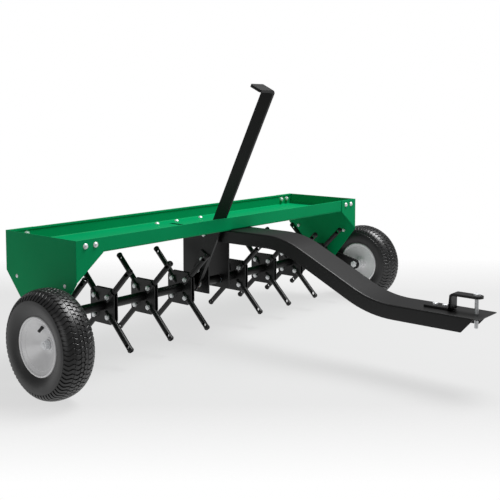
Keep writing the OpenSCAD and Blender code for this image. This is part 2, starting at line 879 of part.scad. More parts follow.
// Left rim on its axis: two dishes, the barrel and the hub tube
module rim() {
    in_u = hub_in_x - wheel_x;
    barrel_u = wall_u - rim_t / 2;
    hub_bore = wheel_bolt_d + 2 * run_c + 2 * hub_bush_wall;
    difference() {
        translate([wheel_x, 0, 0]) rotate([0, 90, 0]) rotate_extrude($fn = 96) difference() {
            union() {
                dish_2d(hub_u, 1);
                dish_2d(inner_dish_u, -1);
                translate([barrel_d / 2 - rim_t, -barrel_u]) square([rim_t, 2 * barrel_u]);
                translate([0, in_u]) square([hub_d / 2, hub_out - in_u]);
            }
            translate([0, -rim_w]) square([hub_bore / 2, 2 * rim_w]);
        }
        on_valve_line() translate([0, 0, -valve_in]) cylinder(d = valve_d + 2 * hole_c, h = 2 * valve_in);
    }
}

module left_rim() {
    color(grey) placed() translate([0, wheel_y, wheel_z]) rim();
}

module right_rim() {
    color(grey) placed() translate([0, wheel_y, wheel_z]) mirror([1, 0, 0]) rim();
}

// Flanged bushes in both ends of the left hub
module hub_bushes() {
    bore = wheel_bolt_d + 2 * run_c;
    sleeve = bore + 2 * hub_bush_wall - 2 * hole_c;
    difference() {
        union() {
            rod_x(sleeve, hub_in_x - hub_flange_t, hub_in_x + hub_bush_l);
            rod_x(sleeve, hub_out_x - hub_bush_l, hub_out_x + hub_flange_t);
            rod_x(hub_flange_d, hub_in_x - hub_flange_t, hub_in_x);
            rod_x(hub_flange_d, hub_out_x, hub_out_x + hub_flange_t);
        }
        rod_x(bore, hub_in_x - hub_bush_l, hub_out_x + hub_bush_l);
    }
}

module left_hub_bushes() {
    color(nylon) placed() translate([0, wheel_y, wheel_z]) hub_bushes();
}

module right_hub_bushes() {
    color(nylon) placed() translate([0, wheel_y, wheel_z]) mirror([1, 0, 0]) hub_bushes();
}

// Rubber valve stem with its cap, through the outer dish
module valve() {
    on_valve_line() {
        translate([0, 0, -valve_in]) cylinder(d = valve_d, h = valve_in + valve_out);
        translate([0, 0, valve_out - eps]) cylinder(d = valve_cap_d, h = valve_cap_l + eps);
    }
}

module left_valve() {
    color(tyre_black) placed() translate([0, wheel_y, wheel_z]) valve();
}

module right_valve() {
    color(tyre_black) placed() translate([0, wheel_y, wheel_z]) mirror([1, 0, 0]) valve();
}

// Lever's own frame: +Z along the bar, +Y to the rear, origin on the axle
module in_lever_frame() {
    on_axle() rotate([lever_lean, 0, 0]) children();
}

module lever_bolt_places() {
    for (r = lever_bolt_r) translate([bracket_x, 0, r]) rotate([0, 90, 0]) children();
}

module lever() {
    x0 = lever_x - lever_t / 2;
    bend_z = lever_len - lever_bend_r - lever_t / 2;
    tab_z = bend_z + lever_bend_r;
    tab_x = x0 - lever_bend_r;
    corner = lever_corner;
    color(black) placed() in_lever_frame() difference() {
        union() {
            translate([x0, -lever_w / 2, lever_root])
                cube([lever_t, lever_w, bend_z - lever_root]);
            translate([tab_x, lever_w / 2, bend_z]) rotate([90, 0, 0])
                rotate_extrude(angle = 90) translate([lever_bend_r, 0]) square([lever_t, lever_w]);
            translate([tab_x, 0, tab_z]) linear_extrude(lever_t) {
                translate([-lever_tab + corner, -lever_w / 2]) square([lever_tab - corner, lever_w]);
                translate([-lever_tab, -lever_w / 2 + corner]) square([corner, lever_w - 2 * corner]);
                for (s = [-1, 1]) translate([-lever_tab + corner, s * (lever_w / 2 - corner)])
                    circle(r = corner);
            }
        }
        lever_bolt_places() cylinder(d = bolt_d + 2 * hole_c, h = 4 * lever_t);
    }
}

// Collar on the axle with the plate that the lever is bolted to
module lever_bracket() {
    color(black) placed() in_lever_frame() difference() {
        union() {
            translate([bracket_x, 0, 0]) plate_x(lever_plate_t) {
                circle(d = lever_plate_d);
                translate([-lever_w / 2, 0]) square([lever_w, lever_plate_l]);
            }
            rod_x(collar_d, bracket_x - lever_collar_l, bracket_x + eps);
        }
        rod_x(axle_d + 2 * hole_c, bracket_x - lever_collar_l - 1, lever_x);
        lever_bolt_places() cylinder(d = bolt_d + 2 * hole_c, h = 4 * lever_t, center = true);
        translate([bracket_x - lever_collar_l / 2, 0, 0]) rotate([-lever_lean, 0, 0])
            cylinder(d = roll_pin_d + 2 * hole_c, h = 2 * collar_d, center = true);
    }
}

// Bolts from the bracket's outer face; the nuts are low, beside the hanger
module lever_bolts() {
    stack = lever_plate_t + lever_t;
    color(zinc) placed() in_lever_frame() lever_bolt_places() {
        hex_bolt(bolt_d, bolt_af, head_h, stack + low_nut_h);
        translate([0, 0, stack]) nut(bolt_d, bolt_af, low_nut_h);
    }
}

// Square with cut corners, and the four diagonals of a coring wheel
module cut_square_2d(w, cut) {
    h = w / 2;
    polygon([
        [-h, -h + cut], [-h + cut, -h], [h - cut, -h], [h, -h + cut],
        [h, h - cut], [h - cut, h], [-h + cut, h], [-h, h - cut]
    ]);
}

module diagonals() {
    for (a = [45:90:315]) rotate([a, 0, 0]) children();
}

// Plate with four half-round ribs that hold the coring tubes; its outer side is +X
module clamp_plate() {
    rib_r = tine_d / 2 + seat_c + plate_t;
    rib_root = tine_root_r + 4;
    difference() {
        union() {
            translate([plate_gap / 2, 0, 0]) plate_x(plate_t) cut_square_2d(plate_w, plate_cut);
            intersection() {
                translate([plate_gap / 2, 0, 0]) plate_x(rib_r) cut_square_2d(plate_w, plate_cut);
                diagonals() {
                    translate([0, 0, rib_root]) cylinder(r = rib_r, h = plate_w);
                    translate([0, 0, rib_root]) sphere(r = rib_r);
                }
            }
        }
        diagonals() {
            translate([0, 0, tine_root_r - 1]) cylinder(d = tine_d + 2 * seat_c, h = plate_w);
            translate([0, 0, clamp_square / sqrt(2)])
                rod_x(bolt_d + 2 * hole_c, 0, rib_r + 1);
        }
        rod_x(axle_d + 2 * run_c, 0, rib_r + 1);
    }
}

// Coring tube along +Z with its bolt hole, its window and a wider cutting ring
module coring_tube() {
    bore_d = tine_d - 2 * tine_wall;
    ring_z = tip_r - ring_l;
    window_top = ring_z - window_c;
    window_z = window_top - window_l;
    bevel_l = (ring_d - bore_d) / 2;
    difference() {
        union() {
            translate([0, 0, tine_root_r]) cylinder(d = tine_d, h = ring_z + eps - tine_root_r);
            translate([0, 0, ring_z]) cylinder(d = ring_d, h = ring_l - bevel_l);
            translate([0, 0, tip_r - bevel_l]) cylinder(d1 = ring_d, d2 = bore_d + ring_lip, h = bevel_l);
        }
        translate([0, 0, tine_root_r - 1]) cylinder(d = bore_d, h = tip_r + 2 - tine_root_r);
        translate([0, 0, clamp_square / sqrt(2)])
            rod_x(bolt_d + 2 * hole_c, -tine_d, tine_d);
        translate([0, 0, window_z + window_w / 2]) rod_x(window_w, -tine_d, tine_d);
        translate([0, 0, window_top - window_w / 2]) rod_x(window_w, -tine_d, tine_d);
        translate([-tine_d, -window_w / 2, window_z + window_w / 2])
            cube([2 * tine_d, window_w, window_l - window_w]);
    }
}

// Coring wheels are numbered from the machine's right to its left
function coring_x(n) =
    n <= wheels_per_side ? -tine_x[wheels_per_side - n] : tine_x[n - wheels_per_side - 1];

module at_coring_wheel(n) {
    placed() on_axle() translate([coring_x(n), 0, 0]) children();
}

module coring_plates(n) {
    color(black) at_coring_wheel(n) for (s = [0, 1]) mirror([s, 0, 0]) clamp_plate();
}

module coring_tines(n) {
    color(black) at_coring_wheel(n) diagonals() coring_tube();
}

module coring_bolts(n) {
    grip = tine_d / 2 + seat_c + plate_t;
    color(zinc) at_coring_wheel(n) diagonals()
        translate([-grip, 0, clamp_square / sqrt(2)]) rotate([0, 90, 0])
        hex_bolt_and_nut(bolt_d, bolt_af, 2 * grip);
}

tray();
right_end_plate();
left_end_plate();
flange_bolts();
plate_bolts();
tray_bolts();
drawbar();
hanger();
hanger_bolts();
hitch_strap();
strap_bolts();
hitch_pin();
end_bushes();
hanger_bushes();
axle();
axle_spacers();
roll_pins();
right_arm();
left_arm();
lever();
lever_bracket();
lever_bolts();
wheel_bolts();
wheel_nuts();
wheel_washers();
wheel_spacers();
right_tyre();
left_tyre();
right_rim();
left_rim();
right_hub_bushes();
left_hub_bushes();
right_valve();
left_valve();
for (n = [1:coring_count]) {
    coring_plates(n);
    coring_tines(n);
    coring_bolts(n);
}
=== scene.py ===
"""Dresses a tow behind plug aerator: sheet, bar work, coring wheels, tyres, fasteners and stage."""

import json
import math

import bmesh
import bpy
from mathutils import Matrix, Vector

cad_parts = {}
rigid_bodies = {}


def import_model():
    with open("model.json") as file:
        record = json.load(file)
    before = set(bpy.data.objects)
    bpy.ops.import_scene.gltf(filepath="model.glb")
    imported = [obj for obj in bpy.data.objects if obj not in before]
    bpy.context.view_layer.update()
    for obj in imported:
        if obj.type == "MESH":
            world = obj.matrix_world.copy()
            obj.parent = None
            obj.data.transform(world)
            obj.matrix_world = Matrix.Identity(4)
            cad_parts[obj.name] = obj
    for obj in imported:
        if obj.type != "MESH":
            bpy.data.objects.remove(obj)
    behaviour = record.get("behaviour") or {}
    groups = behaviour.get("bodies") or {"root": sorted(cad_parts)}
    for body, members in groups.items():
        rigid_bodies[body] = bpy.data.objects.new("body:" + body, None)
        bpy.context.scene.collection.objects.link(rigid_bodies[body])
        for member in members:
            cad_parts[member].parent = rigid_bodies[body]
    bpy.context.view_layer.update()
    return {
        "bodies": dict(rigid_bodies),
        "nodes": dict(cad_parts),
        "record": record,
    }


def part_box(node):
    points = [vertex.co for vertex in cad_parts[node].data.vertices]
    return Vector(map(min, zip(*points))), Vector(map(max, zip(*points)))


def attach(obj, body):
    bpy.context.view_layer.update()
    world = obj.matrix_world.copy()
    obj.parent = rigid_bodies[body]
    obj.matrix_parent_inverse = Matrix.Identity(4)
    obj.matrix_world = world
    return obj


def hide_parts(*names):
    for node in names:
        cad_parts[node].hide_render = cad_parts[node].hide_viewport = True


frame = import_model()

bl_info = {
    "name": "Plug Aerator Looks",
    "version": (1, 0, 0),
    "blender": (4, 5, 0),
    "location": "View3D > Sidebar > Aerator",
    "description": "Finishes the pieces of a tow behind plug aerator and sets its stage",
    "category": "Object",
}

# The frame, in metres
MM = 0.001
NODES = frame["nodes"]
RECORD = frame["record"]
BODY_OF = {n: body for body, nodes in RECORD["behaviour"]["bodies"].items() for n in nodes}
SLOT_OF = {row["node"]: row["material_slot"] for row in RECORD["subparts"]}
SIDES = ("right", "left")
CORING_WHEELS = sorted(body for body in frame["bodies"] if body.startswith("coring_wheel_"))

SHEET_NODES = ("tray", "right_end_plate", "left_end_plate")
BAR_NODES = ("drawbar", "hanger", "hitch_strap", "right_arm", "left_arm", "lever", "lever_bracket")
SHAFT_NODES = ("axle_spacers", "roll_pins", "hitch_pin", "wheel_spacers", "wheel_washers")
# The bolts and nuts of each body
FASTENERS = (
    ("flange_bolts", "plate_bolts", "tray_bolts", "hanger_bolts", "strap_bolts"),
    ("lever_bolts", "wheel_bolts", "wheel_nuts"),
) + tuple((body + "_bolts",) for body in CORING_WHEELS)
BUSH_NODES = ("end_bushes", "hanger_bushes", "right_hub_bushes", "left_hub_bushes")

QUARTER_TURN = math.pi / 2
FULL_TURN = 2 * math.pi


class AeratorSizes(bpy.types.PropertyGroup):
    """Sizes of the finishing work, in millimetres."""

    fold: bpy.props.FloatProperty(
        name="Fold radius", description="Rounding of the sheet's folds and hems",
        default=0.9, min=0.2, max=2)
    cut: bpy.props.FloatProperty(
        name="Cut edge", description="Rounding of sheared and drilled edges", default=0.45, min=0.1, max=1)
    bar_edge: bpy.props.FloatProperty(
        name="Bar edge", description="Rounding of rolled bar", default=0.9, min=0.2, max=2)
    lugs: bpy.props.IntProperty(
        name="Lugs", description="Tread lugs round one tyre, in each row", default=66, min=30, max=90)
    lug_gap: bpy.props.FloatProperty(
        name="Lug gap", description="Gap between two lugs of a row", default=2.0, min=1, max=6)
    tread: bpy.props.FloatProperty(
        name="Tread depth", description="Height of the tread lugs", default=2.6, min=1, max=5)
    wave: bpy.props.FloatProperty(
        name="Wave", description="Sway of the cuts between the lugs", default=2.6, min=0, max=5)
    wave_length: bpy.props.FloatProperty(
        name="Wave length", description="Length of that sway across the tread",
        default=21, min=10, max=60)
    ring: bpy.props.FloatProperty(
        name="Ring", description="Radius of the moulded ring where the sidewall ends",
        default=109, min=104, max=115)
    dish: bpy.props.FloatProperty(
        name="Dish sheet", description="Sheet thickness of the rims", default=2.5, min=1, max=4)
    barrel: bpy.props.FloatProperty(
        name="Barrel", description="Radius of the rim's barrel", default=59.5, min=50, max=65)
    roll: bpy.props.FloatProperty(
        name="Rolled edge", description="Radius of the rim's rolled edge", default=3.2, min=2, max=4)
    flange: bpy.props.FloatProperty(
        name="Rim flange", description="Rise from the barrel's end to the rolled edge",
        default=4, min=2, max=6)
    hub: bpy.props.FloatProperty(
        name="Hub", description="Radius of the hub tube", default=17, min=14, max=20)
    hub_bore: bpy.props.FloatProperty(
        name="Hub bore", description="Radius of the bore that holds the bushes",
        default=10.4, min=8, max=13)
    hub_land: bpy.props.FloatProperty(
        name="Hub land", description="Radius of the flat round the hub", default=23, min=18, max=30)
    hub_end: bpy.props.FloatProperty(
        name="Hub end", description="Height of the hub's end above its flat", default=2, min=0, max=5)
    inner_dish: bpy.props.FloatProperty(
        name="Inner dish", description="Place of the inner dish's flat, inwards of the middle",
        default=18, min=10, max=25)
    pitch: bpy.props.FloatProperty(
        name="Thread pitch", description="Pitch of the bolt threads", default=1.25, min=0.5, max=2)


class AeratorColours(bpy.types.PropertyGroup):
    """Colours of the finishes, as sRGB hex values."""

    green: bpy.props.StringProperty(
        name="Sheet", description="Powder coat of the tray and end plates", default="#009158")
    black: bpy.props.StringProperty(
        name="Bar work", description="Powder coat of the drawbar, lever and coring wheels",
        default="#070708")
    rim: bpy.props.StringProperty(
        name="Rims", description="Paint of the pressed rims", default="#f0f0f1")
    rubber: bpy.props.StringProperty(
        name="Tyres", description="Moulded tyre rubber", default="#121213")
    zinc: bpy.props.StringProperty(
        name="Fasteners", description="Bright zinc plating", default="#eef0f2")
    steel: bpy.props.StringProperty(
        name="Axle", description="Drawn steel bar", default="#9b9da0")
    nylon: bpy.props.StringProperty(
        name="Bushes", description="Grey nylon", default="#c4c6c8")


class AeratorStage(bpy.types.PropertyGroup):
    """Camera and light."""

    lens: bpy.props.FloatProperty(
        name="Lens", description="Focal length on a 36 mm sensor", default=59.3, unit="CAMERA")
    azimuth: bpy.props.FloatProperty(
        name="Azimuth", description="Turn of the view from +Y",
        default=math.radians(-50.02), subtype="ANGLE")
    pitch: bpy.props.FloatProperty(
        name="Pitch", description="How far the view looks down",
        default=math.radians(4.55), subtype="ANGLE")
    eye: bpy.props.FloatVectorProperty(
        name="Eye", description="Place of the camera",
        default=(-1.82713, -1.32638, 0.67781), subtype="XYZ")
    rise: bpy.props.FloatProperty(
        name="Rise", description="Vertical shift of the lens", default=-0.15)
    floor: bpy.props.StringProperty(
        name="Floor", description="Floor under the machine", default="#606060")
    floor_glow: bpy.props.FloatProperty(
        name="Floor glow", description="Light from a white floor, which keeps its shadows pale",
        default=0.66, min=0, max=1)
    soft: bpy.props.FloatProperty(
        name="Soft light", description="Strength of the even light all round", default=0.2, min=0, max=1)
    key: bpy.props.FloatProperty(
        name="Key light", description="Power of the lamp above", default=146, unit="POWER")
    key_place: bpy.props.FloatVectorProperty(
        name="Key place", description="Place of the lamp above", default=(1.0, -0.55, 3.2), subtype="XYZ")
    fill: bpy.props.FloatProperty(
        name="Fill light", description="Power of the low lamp on the right", default=11, unit="POWER")
    fill_place: bpy.props.FloatVectorProperty(
        name="Fill place", description="Place of the low lamp", default=(-3.4, -0.4, 0.8), subtype="XYZ")
    lamp_size: bpy.props.FloatProperty(
        name="Lamp size", description="Side of the square lamps", default=1.8, unit="LENGTH")


GROUPS = {
    "aerator_sizes": AeratorSizes,
    "aerator_colours": AeratorColours,
    "aerator_stage": AeratorStage,
}


# Materials

# Stretch of the streaks along drawn and plated steel
STREAK_STRETCH = (0.08, 1.0, 1.0)


def linear(colour):
    """A linear RGBA colour from an sRGB hex value."""
    parts = [int(colour[i:i + 2], 16) / 255 for i in (1, 3, 5)]
    return [c / 12.92 if c <= 0.04045 else ((c + 0.055) / 1.055) ** 2.4 for c in parts] + [1.0]


def shade(colour, factor):
    """The same linear colour, lighter or darker."""
    return [min(1.0, c * factor) for c in linear(colour)[:3]] + [1.0]


def per_mm(size):
    """Texture scale at which a pattern's features are about this many millimetres apart."""
    return 1 / (size * MM)


def add(tree, kind, inputs=None, **settings):
    """Adds one node with its settings, and sets or links its inputs by identifier or name."""
    node = tree.nodes.new(kind)
    for name, value in settings.items():
        setattr(node, name, value)
    for key, value in (inputs or {}).items():
        socket = next((s for s in node.inputs if s.identifier == key), None) or node.inputs[key]
        if isinstance(value, bpy.types.NodeSocket):
            tree.links.new(value, socket)
        else:
            socket.default_value = value
    return node


def new_material(name, **sockets):
    """An empty material with one shader, whose even values are set on the shader itself."""
    material = bpy.data.materials.new(name)
    material.use_nodes = True
    shader = material.node_tree.nodes["Principled BSDF"]
    for key, value in sockets.items():
        shader.inputs[key.replace("_", " ")].default_value = value
    return material, material.node_tree, shader


def finish_surface(tree, shader, colour, tint, gloss, relief):
    """Gives a shader its surface from patterns: tint is a pattern with its darkest and lightest share of
    the colour, gloss a pattern with its two roughnesses, and relief a pattern with its height in mm."""
    pattern, dark, light = tint
    mixed = add(tree, "ShaderNodeMix", {
        "Factor_Float": pattern, "A_Color": shade(colour, dark), "B_Color": shade(colour, light),
    }, data_type="RGBA")
    pattern, low, high = gloss
    rough = add(tree, "ShaderNodeMapRange", {"Value": pattern, "To Min": low, "To Max": high})
    pattern, height = relief
    bump = add(tree, "ShaderNodeBump", {
        "Height": pattern, "Strength": 1.0, "Distance": height * MM})
    tree.links.new(mixed.outputs[2], shader.inputs["Base Color"])
    tree.links.new(rough.outputs[0], shader.inputs["Roughness"])
    tree.links.new(bump.outputs["Normal"], shader.inputs["Normal"])


def powder_coat(name, colour, peel, rough, sheen):
    """Baked powder coat: an even satin skin with the fine orange peel of melted powder, which breaks up
    highlights, and a faint cloudiness where the coat is thicker."""
    material, tree, shader = new_material(name, IOR=1.5, Specular_IOR_Level=sheen)
    place = add(tree, "ShaderNodeTexCoord").outputs["Object"]
    grain = add(tree, "ShaderNodeTexNoise", {
        "Vector": place, "Scale": per_mm(peel), "Detail": 2.0}).outputs["Fac"]
    cloud = add(tree, "ShaderNodeTexNoise", {
        "Vector": place, "Scale": per_mm(130), "Detail": 3.0}).outputs["Fac"]
    finish_surface(
        tree, shader, colour, tint=(cloud, 0.9, 1.1),
        gloss=(grain, rough - 0.05, rough + 0.06), relief=(grain, 0.05))
    return material


def rim_paint(name, colour):
    """Pale enamel on pressed steel: smooth and semi-gloss, with slight flow marks from dipping."""
    material, tree, shader = new_material(name, IOR=1.5, Metallic=0.15, Coat_Weight=0.2)
    place = add(tree, "ShaderNodeTexCoord").outputs["Object"]
    flow = add(tree, "ShaderNodeTexNoise", {
        "Vector": place, "Scale": per_mm(18), "Detail": 3.0}).outputs["Fac"]
    peel = add(tree, "ShaderNodeTexNoise", {
        "Vector": place, "Scale": per_mm(1.2), "Detail": 1.0}).outputs["Fac"]
    finish_surface(
        tree, shader, colour, tint=(flow, 0.92, 1.06), gloss=(flow, 0.3, 0.42), relief=(peel, 0.02))
    return material


def plated(name, colour, rough, streak, metal):
    """Plated or drawn steel: bright metal whose sheen varies in streaks along the bar. The streaks are
    drawn coarser than real ones, so that they show."""
    material, tree, shader = new_material(name, Metallic=metal)
    place = add(tree, "ShaderNodeTexCoord").outputs["Object"]
    along = add(tree, "ShaderNodeMapping", {"Vector": place, "Scale": STREAK_STRETCH}).outputs[0]
    grain = add(tree, "ShaderNodeTexNoise", {
        "Vector": along, "Scale": per_mm(streak), "Detail": 3.0}).outputs["Fac"]
    cloud = add(tree, "ShaderNodeTexNoise", {
        "Vector": place, "Scale": per_mm(6), "Detail": 2.0}).outputs["Fac"]
    finish_surface(
        tree, shader, colour, tint=(cloud, 0.86, 1.1),
        gloss=(grain, rough - 0.08, rough + 0.1), relief=(grain, 0.01))
    return material


def moulded_rubber(name, colour, rough):
    """Vulcanised rubber from a blasted mould: dark, with a soft sheen, a grey bloom and a grain that is
    drawn coarser than the real one, so that it shows."""
    material, tree, shader = new_material(name, IOR=1.52, Specular_IOR_Level=0.72)
    place = add(tree, "ShaderNodeTexCoord").outputs["Object"]
    grain = add(tree, "ShaderNodeTexNoise", {
        "Vector": place, "Scale": per_mm(0.9), "Detail": 2.0}).outputs["Fac"]
    bloom = add(tree, "ShaderNodeTexNoise", {
        "Vector": place, "Scale": per_mm(35), "Detail": 4.0}).outputs["Fac"]
    finish_surface(
        tree, shader, colour, tint=(bloom, 0.8, 1.3),
        gloss=(bloom, rough - 0.08, rough + 0.08), relief=(grain, 0.06))
    return material


def grey_nylon(name, colour):
    """Grey nylon: milky, a little see-through at the edges, with faint turning marks."""
    material, tree, shader = new_material(
        name, IOR=1.53, Subsurface_Weight=0.15, Subsurface_Scale=2 * MM)
    place = add(tree, "ShaderNodeTexCoord").outputs["Object"]
    marks = add(tree, "ShaderNodeTexWave", {
        "Vector": place, "Scale": per_mm(4), "Distortion": 1.0}, bands_direction="X").outputs["Fac"]
    cloud = add(tree, "ShaderNodeTexNoise", {
        "Vector": place, "Scale": per_mm(9)}).outputs["Fac"]
    finish_surface(
        tree, shader, colour, tint=(cloud, 0.9, 1.05), gloss=(marks, 0.42, 0.52), relief=(marks, 0.02))
    return material


def finish(slot):
    """The finish of a material slot, made once."""
    name = slot + "_finish"
    colours = bpy.context.scene.aerator_colours
    makers = {
        "green_paint": lambda: powder_coat(name, colours.green, peel=1.4, rough=0.45, sheen=0.06),
        "black_paint": lambda: powder_coat(name, colours.black, peel=1.1, rough=0.4, sheen=0.42),
        "rim_paint": lambda: rim_paint(name, colours.rim),
        "zinc_plate": lambda: plated(name, colours.zinc, rough=0.4, streak=0.8, metal=0.5),
        "axle_steel": lambda: plated(name, colours.steel, rough=0.34, streak=0.5, metal=1.0),
        "tyre_rubber": lambda: moulded_rubber(name, colours.rubber, rough=0.38),
        "valve_rubber": lambda: moulded_rubber(name, colours.rubber, rough=0.5),
        "nylon": lambda: grey_nylon(name, colours.nylon),
    }
    return bpy.data.materials.get(name) or makers[slot]()


# Meshes

# Vertices nearer than this are joined
MERGE_DISTANCE = 0.002 * MM
# Nodes whose runs lap each other with a low step, and the distance that closes it
LAPS = {"drawbar": 0.1 * MM}
# Faces that turn less than this are one flat
FLAT_ANGLE = math.radians(0.3)
# Edges that turn more than this are sharp
SHARP_ANGLE = math.radians(32)
EDGE_SEGMENTS = 3
# Faces narrower than this, in mm, are cut edges of the sheet and of the bar work
SHEET_THIN = 3
BAR_THIN = 4


def new_object(name, work):
    """An object in the scene from a bmesh, which is freed."""
    mesh = bpy.data.meshes.new(name)
    work.to_mesh(mesh)
    work.free()
    piece = bpy.data.objects.new(name, mesh)
    bpy.context.scene.collection.objects.link(piece)
    return piece


def bake(piece):
    """Turns a piece's modifiers into plain mesh."""
    view = bpy.context.evaluated_depsgraph_get()
    mesh = bpy.data.meshes.new_from_object(piece.evaluated_get(view), depsgraph=view)
    piece.modifiers.clear()
    old = piece.data
    piece.data = mesh
    bpy.data.meshes.remove(old)
    mesh.name = piece.name
    return piece


def smoothed(piece):
    """Smooths a piece between its sharp edges."""
    piece.data.shade_smooth()
    piece.data.set_sharp_from_angle(angle=SHARP_ANGLE)
    return piece


def dress(piece, *nodes):
    """Gives a piece its finish and body, and lets it stand for CAD nodes."""
    first = nodes[0]
    piece.data.materials.clear()
    piece.data.materials.append(finish(SLOT_OF[first]))
    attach(piece, BODY_OF[first])
    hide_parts(*nodes)
    return piece


def merged(node):
    """A CAD node's loose triangles, joined, with each flat face made whole."""
    work = bmesh.new()
    work.from_mesh(NODES[node].data)
    bmesh.ops.remove_doubles(work, verts=work.verts, dist=LAPS.get(node, MERGE_DISTANCE))
    bmesh.ops.dissolve_limit(work, angle_limit=FLAT_ANGLE, verts=work.verts, edges=work.edges)
    return work


def softened(node, fold, cut, thin=0):
    """A copy of a CAD node with its edges rounded: by cut mm beside faces narrower than thin mm, and by
    fold mm elsewhere."""
    work = merged(node)
    weight = work.edges.layers.float.new("bevel_weight_edge")
    width = {f: 2 * f.calc_area() / f.calc_perimeter() for f in work.faces}
    for edge in work.edges:
        if len(edge.link_faces) == 2 and edge.calc_face_angle(0) > SHARP_ANGLE:
            broad = min(width[f] for f in edge.link_faces) > thin * MM
            edge[weight] = 1.0 if broad else cut / fold
    piece = new_object(node + "_finished", work)
    bevel = piece.modifiers.new("Edges", "BEVEL")
    bevel.limit_method = "WEIGHT"
    bevel.width = fold * MM
    bevel.segments = EDGE_SEGMENTS
    bevel.use_clamp_overlap = False
    piece.data.shade_smooth()
    piece.modifiers.new("Flat faces", "WEIGHTED_NORMAL")
    return bake(piece)


def faced(work):
    """Turns the faces of a bmesh outwards."""
    bmesh.ops.recalc_face_normals(work, faces=work.faces)
    return work


def ring_point(u, r, angle):
    """A point at offset u along the X axis and at radius r, turned from +Z."""
    return Vector((u, r * math.sin(angle), r * math.cos(angle)))


def turned_rings(work, points, steps, place):
    """Adds (along, radius) points at each step round the X axis, and pairs each ring with the next."""
    rings = []
    for i in range(steps):
        angle = FULL_TURN * i / steps
        rings.append([work.verts.new(place @ ring_point(u, r, angle)) for u, r in points])
    return zip(rings, rings[1:] + rings[:1])


def lathe(work, loop, steps, place=Matrix()):
    """Turns a closed loop of (along, radius) points round the X axis and adds it to a bmesh."""
    for ring, ahead in turned_rings(work, loop, steps, place):
        for k in range(len(loop)):
            near = (k + 1) % len(loop)
            work.faces.new((ring[k], ring[near], ahead[near], ahead[k]))


def solid_turned(work, profile, steps, place=Matrix()):
    """Turns an open profile, from axis to axis, into a closed body, and adds it to a bmesh."""
    ends = [work.verts.new(place @ Vector((profile[i][0], 0, 0))) for i in (0, -1)]
    for ring, ahead in turned_rings(work, profile[1:-1], steps, place):
        work.faces.new((ends[0], ring[0], ahead[0]))
        work.faces.new((ends[1], ahead[-1], ring[-1]))
        for k in range(len(ring) - 1):
            work.faces.new((ring[k], ring[k + 1], ahead[k + 1], ahead[k]))


def rounded(points, radius, steps=6):
    """A line of (along, radius) points whose inner corners are rounded."""
    line = [Vector(points[0])]
    for before, corner, after in zip(points, points[1:], points[2:]):
        corner = Vector(corner)
        start = corner + (Vector(before) - corner).normalized() * radius
        end = corner + (Vector(after) - corner).normalized() * radius
        for k in range(steps + 1):
            f = k / steps
            line.append(start.lerp(corner, f).lerp(corner.lerp(end, f), f))
    return line + [Vector(points[-1])]


def band(line, thickness):
    """The closed loop of a sheet of this thickness along a line."""
    sides = ([], [])
    for k, point in enumerate(line):
        run = line[min(k + 1, len(line) - 1)] - line[max(k - 1, 0)]
        across = Vector((-run.y, run.x)).normalized() * thickness / 2
        sides[0].append(point + across)
        sides[1].append(point - across)
    return sides[0] + sides[1][::-1]


def circle(centre, radius, steps):
    """A closed loop round a centre."""
    angles = [FULL_TURN * i / steps for i in range(steps)]
    return [Vector(centre) + Vector((math.cos(a), math.sin(a))) * radius for a in angles]


# Geometry node trees

def geometry_tree(name, inputs):
    """A new tree with a geometry input and output and these further named inputs."""
    tree = bpy.data.node_groups.new(name, "GeometryNodeTree")
    tree.interface.new_socket("Geometry", in_out="INPUT", socket_type="NodeSocketGeometry")
    for label, kind in inputs.items():
        tree.interface.new_socket(label, in_out="INPUT", socket_type=kind)
    tree.interface.new_socket("Geometry", in_out="OUTPUT", socket_type="NodeSocketGeometry")
    return tree, tree.nodes.new("NodeGroupInput").outputs


def copies_tree():
    """Turns copies of a mesh round the X axis and sets them on a wheel's centre."""
    tree, given = geometry_tree("turned_copies", {
        "Copies": "NodeSocketInt", "Centre": "NodeSocketVector", "Finish": "NodeSocketMaterial"})
    points = add(tree, "GeometryNodePoints", {"Count": given["Copies"]})
    index = add(tree, "GeometryNodeInputIndex")
    share = add(tree, "ShaderNodeMath", {0: index.outputs[0], 1: given["Copies"]}, operation="DIVIDE")
    angle = add(tree, "ShaderNodeMath", {0: share.outputs[0], 1: FULL_TURN}, operation="MULTIPLY")
    turn = add(tree, "FunctionNodeAxisAngleToRotation", {"Axis": (1, 0, 0), "Angle": angle.outputs[0]})
    placed = add(tree, "GeometryNodeInstanceOnPoints", {
        "Points": points.outputs[0], "Instance": given["Geometry"], "Rotation": turn.outputs[0]})
    moved = add(tree, "GeometryNodeTranslateInstances", {
        "Instances": placed.outputs[0], "Translation": given["Centre"], "Local Space": False})
    return end_tree(tree, moved.outputs[0], given["Finish"])


def places_tree():
    """Sets a prototype on each vertex, along the vertex's axis and turned by its spin."""
    tree, given = geometry_tree("on_places", {
        "Prototype": "NodeSocketObject", "Finish": "NodeSocketMaterial"})
    shape = add(tree, "GeometryNodeObjectInfo", {"Object": given["Prototype"]})
    axis = add(tree, "GeometryNodeInputNamedAttribute", {"Name": "axis"}, data_type="FLOAT_VECTOR")
    spin = add(tree, "GeometryNodeInputNamedAttribute", {"Name": "spin"}, data_type="FLOAT")
    along = add(tree, "FunctionNodeAlignRotationToVector", {"Vector": axis.outputs[0]}, axis="X")
    turn = add(tree, "FunctionNodeAxisAngleToRotation", {"Axis": (1, 0, 0), "Angle": spin.outputs[0]})
    both = add(tree, "FunctionNodeRotateRotation", {
        "Rotation": along.outputs[0], "Rotate By": turn.outputs[0]}, rotation_space="LOCAL")
    placed = add(tree, "GeometryNodeInstanceOnPoints", {
        "Points": given["Geometry"], "Instance": shape.outputs["Geometry"], "Rotation": both.outputs[0]})
    return end_tree(tree, placed.outputs[0], given["Finish"])


